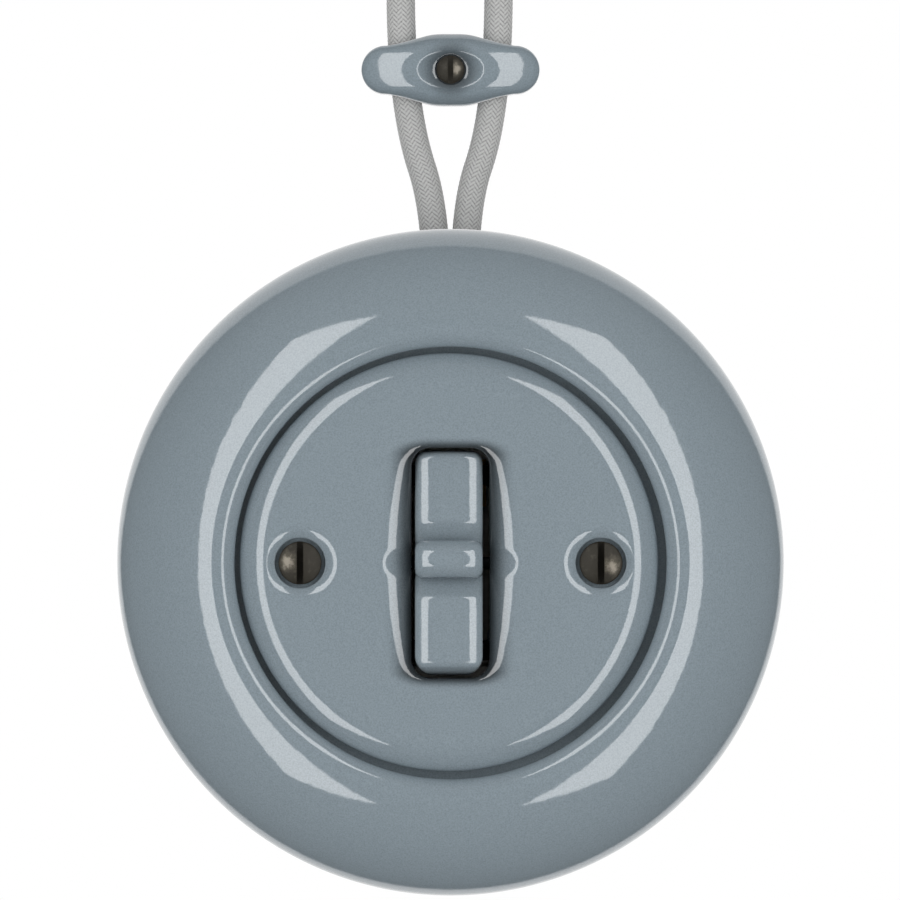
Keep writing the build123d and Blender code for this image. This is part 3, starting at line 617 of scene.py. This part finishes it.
def patinated_brass(name, worn_at, worn_r):
    """Dark patina with one patch that the driver has rubbed bright."""
    material, tree, shader, where = nodes_of(name)
    reach = tree.nodes.new("ShaderNodeVectorMath")
    reach.operation = "DISTANCE"
    tree.links.new(where, reach.inputs[0])
    reach.inputs[1].default_value = worn_at
    near = tree.nodes.new("ShaderNodeMapRange")
    near.inputs["From Min"].default_value = worn_r * MM
    near.inputs["From Max"].default_value = 0.0
    tree.links.new(reach.outputs["Value"], near.inputs["Value"])
    fine = noise(tree, where, 900, 5.0, 0.7)
    rubbed = tree.nodes.new("ShaderNodeMath")
    rubbed.operation = "MULTIPLY_ADD"
    tree.links.new(near.outputs["Result"], rubbed.inputs[0])
    rubbed.inputs[1].default_value = RUBBED
    tree.links.new(fine, rubbed.inputs[2])
    wear = rubbed.outputs["Value"]
    tint = ramp(tree, wear, [(0.55, PATINA), (0.78, PATINA_THIN), (1.0, PATINA_WORN)])
    tree.links.new(tint, shader.inputs["Base Color"])
    rough = ramp(tree, wear, [(0.45, (0.58,) * 3), (0.95, (0.44,) * 3)])
    tree.links.new(rough, shader.inputs["Roughness"])
    bare = ramp(tree, wear, [(0.60, (0.10,) * 3), (0.95, (0.70,) * 3)])
    tree.links.new(bare, shader.inputs["Metallic"])
    shader.inputs["Specular IOR Level"].default_value = 0.25
    bump(tree, shader, noise(tree, where, 2400, 3.0), 0.35, 0.0001)
    return material


def slotted_screw(name, head_r, seat, rim, top, shank_r, tip, across, up, slot_w, worn):
    """A raised slotted screw, its slot upright and worn on one side of it."""
    dome_r = (head_r ** 2 + (top - rim) ** 2) / (2 * (top - rim))
    span = math.degrees(math.asin(head_r / dome_r))
    profile = [(0, tip), (shank_r - 0.4, tip), (shank_r, tip + 0.5), (shank_r, seat), (head_r - 0.15, seat),
               (head_r, seat + 0.15), (head_r, rim - 0.1)]
    profile += [(head_r - 0.06, rim)] + arc((0, top - dome_r), dome_r, span * 0.97, 0, 12)
    screw = finished(spun(profile, 72, across, up), name)
    half, floor = slot_w / 2, top - (top - seat) * 0.8
    cut(screw, box_of((across - half, across + half), (floor, top + 2), (up - 2 * head_r, up + 2 * head_r)))
    soft = screw.modifiers.new("worn edges", "BEVEL")
    soft.width = 0.00010
    soft.segments = 2
    soft.limit_method = "ANGLE"
    soft.angle_limit = math.radians(50)
    worn_at = at(across + worn[0], top, up + worn[1])
    screw.data.materials.append(patinated_brass(name + "_brass", worn_at, worn[2]))
    return screw


HEAD_R = 3.85
HEAD_RIM = 42.0
HEAD_TOP = 43.1
SHANK_R = 2.0
SHANK_TIP = 28.5
for name, across, worn in (("cover_screw_left", -SCREW_X, (-2.3, 0.3, 2.6)),
                           ("cover_screw_right", SCREW_X, (2.1, -0.6, 2.6))):
    cover_screw = slotted_screw(name, HEAD_R, WELL_FLOOR, HEAD_RIM, HEAD_TOP, SHANK_R, SHANK_TIP, across, 0,
                                1.2, worn)
    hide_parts("cover_screws")
print("cover screws", 2 * SCREW_X, "mm apart")

# %% [markdown]
# ## The braided cords
# Each cord is a round mains cord under a braid of grey yarn. The cord follows one smooth spline
# through given points, and a tube is grown along it. The braid is real relief: yarns wind
# both ways round the cord and pass over and under each other, and their height is written into the
# tube, which the material reads to paint shade on the yarns' sides and darker shade in the gaps.

# %% Cord routes
CORD_R = 2.6
CORD_DEPTH = 6.0
CORD_ROUTES = {
    "cord_left": [(-3.6, 32.0), (-1.0, 58.5), (-9.4, 84.1), (-8.96, 108.0)],
    "cord_right": [(3.5, 32.0), (1.1, 60.0), (9.0, 83.0), (8.68, 108.0)],
}
YARNS = 18
YARN_LAY = 15.0
YARN_HEIGHT = 0.15
CORD_AROUND = 176
CORD_STEP = 0.18


def spline_points(name, route):
    """Evenly spaced points of the smooth spline that a cord follows."""
    curve = bpy.data.curves.new(name + "_line", "CURVE")
    curve.dimensions = "3D"
    curve.resolution_u = 64
    spline = curve.splines.new("NURBS")
    spline.points.add(len(route) - 1)
    for point, (x, z) in zip(spline.points, route):
        point.co = (*at(x, CORD_DEPTH, z), 1.0)
    spline.order_u = 3
    spline.use_endpoint_u = True
    line = bpy.data.objects.new(name + "_line", curve)
    mesh = bpy.data.meshes.new_from_object(line)
    places = [v.co.copy() for v in mesh.vertices]
    bpy.data.objects.remove(line)
    bpy.data.meshes.remove(mesh)
    lengths = [0.0]
    for a, b in zip(places, places[1:]):
        lengths.append(lengths[-1] + (b - a).length)
    count = int(lengths[-1] / (CORD_STEP * MM))
    even, k = [], 0
    for i in range(count + 1):
        want = lengths[-1] * i / count
        while k < len(lengths) - 2 and lengths[k + 1] < want:
            k += 1
        t = (want - lengths[k]) / (lengths[k + 1] - lengths[k])
        even.append(places[k].lerp(places[k + 1], t))
    return even, lengths[-1]


def yarn_relief(turn, along):
    """Height (0 to 1) and which way the upper yarn runs, at a place on the cord in turns and mm."""
    right = YARNS * turn + YARNS * along / YARN_LAY
    left = YARNS * turn - YARNS * along / YARN_LAY
    over = (math.floor(right) + math.floor(left)) % 4 < 2
    frac = (right if over else left) % 1.0
    run = (left if over else right) % 1.0
    height = math.sin(math.pi * frac) ** 0.7
    return height * (0.82 + 0.18 * math.sin(math.pi * run)), over


def cord_mesh(name, route):
    """Tube with the braid's relief and a yarn attribute for the colour and its painted shade."""
    places, length = spline_points(name, route)
    depth_way = Vector((0, -1, 0))
    rings, shades = [], []
    for i, place in enumerate(places):
        ahead = (places[min(i + 1, len(places) - 1)] - places[max(i - 1, 0)]).normalized()
        side = ahead.cross(depth_way).normalized()
        ring_points = []
        for j in range(CORD_AROUND):
            turn = j / CORD_AROUND
            height, over = yarn_relief(turn, i * length / MM / (len(places) - 1))
            r = (CORD_R - YARN_HEIGHT * (1 - height)) * MM
            a = 2 * math.pi * turn
            ring_points.append(place + side * r * math.cos(a) + depth_way * r * math.sin(a))
            shades.append(height)
        rings.append(ring_points)
    bm, loops = grow_rings(rings, "yarn")
    layer = bm.verts.layers.float["yarn"]
    for vert, shade in zip((v for loop in loops for v in loop), shades):
        vert[layer] = shade
    bmesh.ops.holes_fill(bm, edges=[e for e in bm.edges if e.is_boundary])
    bmesh.ops.recalc_face_normals(bm, faces=bm.faces)
    return bm, places, length


# Painted shade: the gap and side colours darken the grey yarn where it dips between the yarns.
YARN_GAP_SHADE = (0.16, 0.16, 0.158)
YARN_SIDE_SHADE = (0.42, 0.42, 0.415)
YARN_TOP = (0.53, 0.53, 0.524)


def braid_cloth():
    """Grey yarn with painted shade on the yarns' sides and darker painted shade in the gaps between them."""
    material, tree, shader, where = nodes_of("grey_braid")
    yarn = tree.nodes.new("ShaderNodeAttribute")
    yarn.attribute_name = "yarn"
    colour = ramp(tree, yarn.outputs["Fac"], [(0.10, YARN_GAP_SHADE), (0.60, YARN_SIDE_SHADE), (1.0, YARN_TOP)])
    tree.links.new(colour, shader.inputs["Base Color"])
    shader.inputs["Roughness"].default_value = 0.8
    shader.inputs["Specular IOR Level"].default_value = 0.2
    bump(tree, shader, noise(tree, where, 5200, 3.0), 0.35, 0.00006)
    return material


braid = braid_cloth()
cord_lines, tubes, lengths = {}, {}, {}
for name, route in CORD_ROUTES.items():
    bm, places, length = cord_mesh(name, route)
    cord_lines[name], lengths[name] = places, length
    tube = finished(bm, "braided_" + name, sharp=180)
    tube.data.materials.append(braid)
    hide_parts(name)
    tube.visible_glossy = False
    tubes[name] = tube
    print(name, "length in mm", round(length / MM, 2), "faces", len(tube.data.polygons))

# %% [markdown]
# ## The clip over the cords
# The clip's cap is pressed porcelain: two round lobes run into a rounder middle, the whole top is
# crowned both ways, and a soft oval dish holds the screw. The mesh grows outwards from the screw
# hole, ring by ring, and each point takes the height that the crown, the rolled rim and the dish
# give there. Then the cords' grooves are cut from its back.

# %% Clip cap
CLIP_Z = 88.9
CLIP_EDGE = [(0.0, 6.5), (3.2, 6.38), (6.2, 5.62), (8.6, 4.93), (11.75, 4.35)]
CLIP_LOBE_R = 4.35
CLIP_LOBE_X = 11.75
CLIP_BACK = 6.1
CLIP_TOP = 13.8
CROWN_TURN = 8.9
CROWN_SLOPE = 0.27
CROWN_BEND = 0.037
CROWN_UP_R = 7.8
CLIP_ROUND = 2.0
LOBE_UP_R = 6.75
LOBE_ROUND = 1.2
DISH_ACROSS = 6.2
DISH_UP = 4.2
DISH_SINK = 2.6
CLIP_HOLE = 2.85


def clip_outline():
    """Closed outline of the clip round its middle, anticlockwise, in millimetres."""
    quarter = []
    knots = [(-CLIP_EDGE[1][0], CLIP_EDGE[1][1])] + CLIP_EDGE + [(14.9, 4.35)]
    for p0, p1, p2, p3 in zip(knots, knots[1:], knots[2:], knots[3:]):
        for i in range(12):
            t = i / 12
            quarter.append(tuple(0.5 * (2 * b + (c - a) * t + (2 * a - 5 * b + 4 * c - d) * t * t
                                        + (3 * b - a - 3 * c + d) * t ** 3)
                                 for a, b, c, d in zip(p0, p1, p2, p3)))
    turns = [math.radians(3 * i) for i in range(31)]
    quarter += [(CLIP_LOBE_X + CLIP_LOBE_R * math.sin(a), CLIP_LOBE_R * math.cos(a)) for a in turns]
    lower = [(x, -z) for x, z in reversed(quarter[:-1])]
    left = [(-x, z) for x, z in reversed((quarter + lower)[1:-1])]
    return quarter + lower + left


OUTLINE = clip_outline()
rim_tree = kdtree.KDTree(len(OUTLINE) * 4)
for i, (here, after) in enumerate(zip(OUTLINE, OUTLINE[1:] + OUTLINE[:1])):
    for k in range(4):
        spot = Vector((*here, 0)).lerp(Vector((*after, 0)), k / 4)
        rim_tree.insert(spot, i * 4 + k)
rim_tree.balance()


def crown_along(x):
    """Fall of the crown to the sides: almost flat in the middle, evenly bent over the lobes."""
    past = max(abs(x) - CROWN_TURN, 0.0)
    near = min(abs(x), CROWN_TURN) / CROWN_TURN
    return CROWN_SLOPE * CROWN_TURN / 4 * near ** 4 + CROWN_SLOPE * past + CROWN_BEND / 2 * past * past


def clip_depth(x, z):
    """Depth of the cap's surface: the crown, the rolled rim, and the dish round the screw."""
    lobe = min(max((abs(x) - 5.0) / 6.0, 0.0), 1.0)
    lobe = lobe * lobe * (3 - 2 * lobe)
    up_r = CROWN_UP_R + (LOBE_UP_R - CROWN_UP_R) * lobe
    crown = crown_along(x) + up_r - math.sqrt(up_r ** 2 - z * z)
    roll = edge_drop(rim_tree.find((x, z, 0))[2], CLIP_ROUND + (LOBE_ROUND - CLIP_ROUND) * lobe)
    dish = math.hypot(x / DISH_ACROSS, z / DISH_UP)
    floor = CLIP_TOP - DISH_SINK
    return softest(CLIP_TOP - crown - roll, floor + (DISH_SINK + 0.2) * dish ** 2.4, 0.7)


def clip_rings():
    """Outlines of the cap from the screw hole outwards and down to its back."""
    hole = [(CLIP_HOLE * x / math.hypot(x, z), CLIP_HOLE * z / math.hypot(x, z)) for x, z in OUTLINE]
    floor = clip_depth(CLIP_HOLE, 0) - 0.1
    rings = [[at(x * share, d, CLIP_Z + z * share) for x, z in hole]
             for share, d in ((2.0 / CLIP_HOLE, CLIP_BACK), (2.0 / CLIP_HOLE, CLIP_TOP - 2.6),
                              (1.0, CLIP_TOP - 2.6), (1.0, floor))]
    shares = [i / 34 * 0.8 for i in range(35)]
    shares += [0.8 + 0.2 * math.sin(math.radians(90 * i / 20)) for i in range(1, 21)]
    for share in shares:
        ring_points = []
        for (hx, hz), (ox, oz) in zip(hole, OUTLINE):
            x, z = hx + (ox - hx) * share, hz + (oz - hz) * share
            ring_points.append(at(x, clip_depth(x, z), CLIP_Z + z))
        rings.append(ring_points)
    for inset, d in ((1.0, CLIP_BACK + 0.3), (0.985, CLIP_BACK)):
        rings.append([at(x * inset, d, CLIP_Z + z * inset) for x, z in OUTLINE])
    return rings


def clip_mesh():
    """The closed cap."""
    bm, _ = grow_rings(clip_rings())
    bmesh.ops.bridge_loops(bm, edges=[e for e in bm.edges if e.is_boundary])
    bmesh.ops.recalc_face_normals(bm, faces=bm.faces)
    return bm


def cord_groove(places, radius=CORD_R + 0.15):
    """Plain tube along a cord, a little wider than it, to cut its groove."""
    near = [p for p in places if abs(p.z / MM - CLIP_Z) < 14]
    rings = []
    for before, place, after in zip(near, near[4::4], near[8::4]):
        side = (after - place).normalized().cross(Vector((0, -1, 0))).normalized()
        rings.append([place + (side * math.cos(a) + Vector((0, -1, 0)) * math.sin(a)) * radius * MM
                      for a in (2 * math.pi * k / 48 for k in range(48))])
    bm, _ = grow_rings(rings)
    bmesh.ops.holes_fill(bm, edges=[e for e in bm.edges if e.is_boundary])
    bmesh.ops.recalc_face_normals(bm, faces=bm.faces)
    return bm


clip = finished(clip_mesh(), "clip_cap", sharp=50)
for places in cord_lines.values():
    cut(clip, cord_groove(places), sharp=50)
# Painted shade: the clip's glaze colour is darkened in the dish towards the screw hole.
DISH_PAINTED_SHADE = ((0, CLIP_Z), (CLIP_HOLE, CLIP_HOLE), CLIP_HOLE, 3.4, 0.35)
clip.data.materials.append(glazed("clip_glaze", DISH_PAINTED_SHADE))
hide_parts("cleat_cap")
clip.visible_glossy = False
clip_screw = slotted_screw("clip_screw", 2.55, CLIP_TOP - 2.6, CLIP_TOP - 2.0, CLIP_TOP - 1.0, 1.7, 0.6, 0,
                           CLIP_Z, 1.0, (1.2, 0.2, 1.9))
clip_screw.visible_glossy = False
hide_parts("cleat_screw")
print("clip faces", len(clip.data.polygons))

# %% [markdown]
# The clip's lower half sits on the wall under the cords. It has the same outline, so the outline is
# filled as one face and extruded, and the same two tubes cut its grooves.

# %% Clip base
CLIP_BASE_TOP = 5.9


def clip_base_mesh():
    """The lower half as a plain slab."""
    bm = bmesh.new()
    face = bm.faces.new([bm.verts.new(at(x, 0, CLIP_Z + z)) for x, z in OUTLINE])
    raised = bmesh.ops.extrude_face_region(bm, geom=[face])["geom"]
    bmesh.ops.translate(bm, verts=[g for g in raised if isinstance(g, bmesh.types.BMVert)],
                        vec=at(0, CLIP_BASE_TOP, 0))
    bmesh.ops.recalc_face_normals(bm, faces=bm.faces)
    return bm


clip_base = finished(clip_base_mesh(), "clip_base", sharp=50)
for places in cord_lines.values():
    cut(clip_base, cord_groove(places), sharp=50)
cut(clip_base, spun([(0, -1), (2.0, -1), (2.0, 8), (0, 8)], 48, 0, CLIP_Z), sharp=50)
clip_base.data.materials.append(glaze)
clip_base.visible_glossy = False
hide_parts("cleat_base")

# %% [markdown]
# ## Wall caps
# Above the picture each cord goes into a small round porcelain cap on the wall. It is a turned
# button with a hole in its lower side for the cord.

# %% Wall caps
CAP_Z = 112.6
CAP_R = 7.6
CAP_TOP = 13.5
CAP_ROUND = 5.0


def wall_cap(name, across):
    """Turned button with the cord's hole bored from below."""
    turns = [math.radians(a) for a in range(90, -1, -5)]
    shoulder = [(CAP_R * math.sin(a) ** 0.55, CAP_TOP - CAP_ROUND + CAP_ROUND * math.cos(a) ** 0.62)
                for a in turns]
    obj = finished(spun([(0, 0), (CAP_R, 0)] + shoulder, 96, across, CAP_Z), name, sharp=40)
    bm = bmesh.new()
    bore = (CORD_R + 0.15) * MM
    bmesh.ops.create_cone(bm, cap_ends=True, segments=64, radius1=bore, radius2=bore, depth=10 * MM)
    bmesh.ops.translate(bm, verts=bm.verts, vec=at(across, CORD_DEPTH, CORD_ROUTES["cord_left"][-1][1] - 5))
    cut(obj, bm)
    obj.data.materials.append(glaze)
    return obj


for name, node in (("cord_left", "wall_cap_left"), ("cord_right", "wall_cap_right")):
    button = wall_cap(node + "_button", CORD_ROUTES[name][-1][0])
    button.visible_glossy = False
    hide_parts(node)
    places = cord_lines[name]

# %% [markdown]
# ## The parts behind the plate
# The works show only from the back and through the slot, but each still needs its true finish. The
# brass and steel share one recipe, metal with a fine grain and a little wear in the roughness, and
# the insulating parts are unglazed white ceramic with a dull surface.

# %% Finishes of the works
def metal(name, colour, rough):
    """Plain metal with uneven roughness."""
    material, tree, shader, where = nodes_of(name)
    shader.inputs["Metallic"].default_value = 1.0
    grain = noise(tree, where, 900, 4.0, 0.6)
    darker = tuple(0.8 * c for c in colour)
    tree.links.new(ramp(tree, grain, [(0.35, darker), (0.62, colour)]), shader.inputs["Base Color"])
    uneven = ramp(tree, grain, [(0.3, (rough,) * 3), (0.7, (rough + 0.14,) * 3)])
    tree.links.new(uneven, shader.inputs["Roughness"])
    bump(tree, shader, noise(tree, where, 3000, 2.0), 0.12, 0.00005)
    return material


def unglazed():
    """White unglazed ceramic, matt and slightly grainy."""
    material, tree, shader, where = nodes_of("unglazed_ceramic")
    tint = ramp(tree, noise(tree, where, 700, 4.0), [(0.3, (0.60, 0.585, 0.54)), (0.7, (0.70, 0.69, 0.65))])
    tree.links.new(tint, shader.inputs["Base Color"])
    shader.inputs["Roughness"].default_value = 0.72
    bump(tree, shader, noise(tree, where, 2600, 3.0), 0.3, 0.0001)
    return material


works = {
    "blackened": metal("blackened_steel", (0.022, 0.022, 0.024), 0.42),
    "brass": metal("plain_brass", (0.62, 0.42, 0.16), 0.26),
    "steel": metal("zinc_steel", (0.50, 0.51, 0.53), 0.30),
    "silver": metal("silver_rivet", (0.80, 0.80, 0.78), 0.18),
    "copper": metal("copper_wire", (0.70, 0.33, 0.20), 0.30),
    "insulator": unglazed(),
}
NODES_OF_FINISH = {
    "brass": ["rocker_carrier", "contact_blade", "fulcrum_bracket", "fixed_contact", "terminal_left",
              "terminal_right"],
    "blackened": ["mounting_frame", "pivot_pin"],
    "steel": ["frame_screws", "body_screws", "terminal_screws", "clamp_screws", "plunger", "plunger_spring",
              "cord_clamp"],
    "silver": ["blade_rivets"],
    "copper": ["core_ends"],
    "insulator": ["wall_base", "switch_body", "contact_stop"],
}
for finish, names in NODES_OF_FINISH.items():
    for node_name in names:
        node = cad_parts[node_name]
        node.data.materials.clear()
        node.data.materials.append(works[finish])
print("painted", sum(len(names) for names in NODES_OF_FINISH.values()), "nodes of the works")

# %% [markdown]
# ## Light and camera
# The photograph is a cut-out on white, so the world shows as white to the camera. Glaze is a dark
# mirror, and what it mirrors decides the look: a dim studio, a white wall behind the switch that
# gives a thin bright rim at the dome's edge, and two tall softboxes that draw a crescent each. The
# even light on the colour comes from the room and from two soft lamps.

# %% World
VIEW_CENTRE = Vector((-0.00009, 0, 0.0202))
ROOM_LIGHT = 0.63
ROOM_DARK = 0.07
ROOM_CEILING = 0.22
WALL_ABOVE = 0.44
WALL_BELOW = -0.14
WALL_SEEN = (0.86, 0.92)
world = bpy.data.worlds.new("studio")
bpy.context.scene.world = world
world.use_nodes = True
sky = world.node_tree
sky.nodes.clear()


def sky_light(strength):
    """A plain grey part of the world."""
    node = sky.nodes.new("ShaderNodeBackground")
    node.inputs["Color"].default_value = (1, 1, 1, 1)
    node.inputs["Strength"].default_value = strength
    return node.outputs["Background"]


def sky_mix(share, first, second):
    """The first part where the share is 0, the second where it is 1."""
    node = sky.nodes.new("ShaderNodeMixShader")
    sky.links.new(share, node.inputs["Fac"])
    sky.links.new(first, node.inputs[1])
    sky.links.new(second, node.inputs[2])
    return node.outputs["Shader"]


def sky_range(value, low, high):
    """Smooth step of a value between two limits."""
    node = sky.nodes.new("ShaderNodeMapRange")
    node.interpolation_type = "SMOOTHSTEP"
    node.inputs["From Min"].default_value = low
    node.inputs["From Max"].default_value = high
    sky.links.new(value, node.inputs["Value"])
    return node.outputs["Result"]


heading = sky.nodes.new("ShaderNodeTexCoord")
parts = sky.nodes.new("ShaderNodeSeparateXYZ")
sky.links.new(heading.outputs["Generated"], parts.inputs["Vector"])


def sky_math(operation, first, second):
    """One sum in the world; a plain number or another output on each side."""
    node = sky.nodes.new("ShaderNodeMath")
    node.operation = operation
    for socket, value in zip(node.inputs, (first, second)):
        if isinstance(value, float):
            socket.default_value = value
        else:
            sky.links.new(value, socket)
    return node.outputs["Value"]


up_or_down = sky_math("MAXIMUM", sky_math("MULTIPLY", parts.outputs["Z"], WALL_ABOVE),
                      sky_math("MULTIPLY", parts.outputs["Z"], WALL_BELOW))
wall_side = sky_math("ADD", parts.outputs["Y"], up_or_down)
room = sky_mix(sky_range(parts.outputs["Z"], 0.55, 0.85), sky_light(ROOM_DARK), sky_light(ROOM_CEILING))
mirrored = sky_mix(sky_range(wall_side, *WALL_SEEN), room, sky_light(1.0))
path = sky.nodes.new("ShaderNodeLightPath")
unseen = sky_mix(path.outputs["Is Glossy Ray"], sky_light(ROOM_LIGHT), mirrored)
clear = sky_math("MAXIMUM", path.outputs["Is Camera Ray"], path.outputs["Is Transmission Ray"])
sky_out = sky.nodes.new("ShaderNodeOutputWorld")
sky.links.new(sky_mix(clear, unseen, sky_light(1.0)), sky_out.inputs["Surface"])

# %% [markdown]
# Each softbox is a flat glowing panel between the camera and the switch, out of the picture. Its
# corners are given as directions, so that the crescents end where they do on the real dome: the
# panel reaches further in at its top and foot than in the middle. Only the gloss sees the panels.
# Two soft lamps beside them give the colour its light and never show in the gloss.

# %% Softboxes and soft lamps
PANEL_AWAY = 1.2
PANEL_GLOW = 6.2
PANEL_OUTLINE = [(0.35, 1.17), (1.30, 1.85), (1.13, 0.7), (1.04, 0.0), (1.06, -0.7), (1.05, -1.40),
                 (0.30, -1.0), (0.52, -0.5), (0.57, 0.0), (0.52, 0.5)]


def softbox(name, side):
    """Glowing panel with corners given as across and up, for each unit away in front."""
    bm = bmesh.new()
    corners = [Vector((side * u, -1, v)) * PANEL_AWAY for u, v in PANEL_OUTLINE]
    bm.faces.new([bm.verts.new(corner) for corner in corners])
    bm.normal_update()
    bmesh.ops.triangulate(bm, faces=bm.faces)
    panel = finished(bm, name, body=None)
    paper = bpy.data.materials.new(name + "_cloth")
    paper.use_nodes = True
    tree = paper.node_tree
    tree.nodes.clear()
    glow = tree.nodes.new("ShaderNodeEmission")
    glow.inputs["Strength"].default_value = PANEL_GLOW
    out = tree.nodes.new("ShaderNodeOutputMaterial")
    tree.links.new(glow.outputs["Emission"], out.inputs["Surface"])
    panel.data.materials.append(paper)
    panel.visible_camera = False
    panel.visible_diffuse = False
    panel.visible_shadow = False


softbox("softbox_left", -1)
softbox("softbox_right", 1)


LAMP_SIZE = (0.6, 1.8)
LAMP_POWER = 8.8
LAMP_AWAY = 1.3
LAMP_UP = -0.12


def soft_lamp(name, angle):
    """Large lamp for the colour, at an angle from the camera's axis."""
    lamp = bpy.data.lights.new(name, "AREA")
    lamp.shape = "RECTANGLE"
    lamp.size, lamp.size_y = LAMP_SIZE
    lamp.energy = LAMP_POWER
    holder = bpy.data.objects.new(name, lamp)
    bpy.context.scene.collection.objects.link(holder)
    a = math.radians(angle)
    holder.location = (LAMP_AWAY * math.sin(a), -LAMP_AWAY * math.cos(a), LAMP_UP)
    holder.rotation_euler = (Vector((0, 0, 0.02)) - holder.location).to_track_quat("-Z", "Y").to_euler()
    holder.visible_glossy = False


soft_lamp("soft_lamp_left", -42)
soft_lamp("soft_lamp_right", 42)

# %% [markdown]
# The switch hangs on the wall of an empty pale room. The floor lies well below it, a plain matt
# plane, so it is out of the picture and only closes the room.

# %% Floor
FLOOR_Z = -0.45


def pale_floor():
    """Plain pale floor below the switch."""
    bm = bmesh.new()
    bmesh.ops.create_grid(bm, x_segments=1, y_segments=1, size=1.5)
    bmesh.ops.translate(bm, verts=bm.verts, vec=(0, 0, FLOOR_Z))
    floor = finished(bm, "floor", body=None)
    material, tree, shader, where = nodes_of("pale_floor")
    tint = ramp(tree, noise(tree, where, 3.0), [(0.3, (0.78, 0.78, 0.78)), (0.7, (0.80, 0.80, 0.80))])
    tree.links.new(tint, shader.inputs["Base Color"])
    shader.inputs["Roughness"].default_value = 0.9
    floor.data.materials.append(material)
    floor.visible_glossy = False


pale_floor()

# %% Camera
camera_data = bpy.data.cameras.new("camera")
camera_data.sensor_width = 36
CAMERA_AWAY = 3.0
camera_data.lens = 36 * (CAMERA_AWAY - 0.021) / 0.162
camera = bpy.data.objects.new("camera", camera_data)
bpy.context.scene.collection.objects.link(camera)
camera.location = VIEW_CENTRE + Vector((0, -CAMERA_AWAY, 0))
camera.rotation_euler = (math.radians(90), 0, 0)
camera_data.clip_end = 20
bpy.context.scene.camera = camera
bpy.context.scene.view_settings.view_transform = "Standard"
bpy.context.scene.view_settings.look = "None"
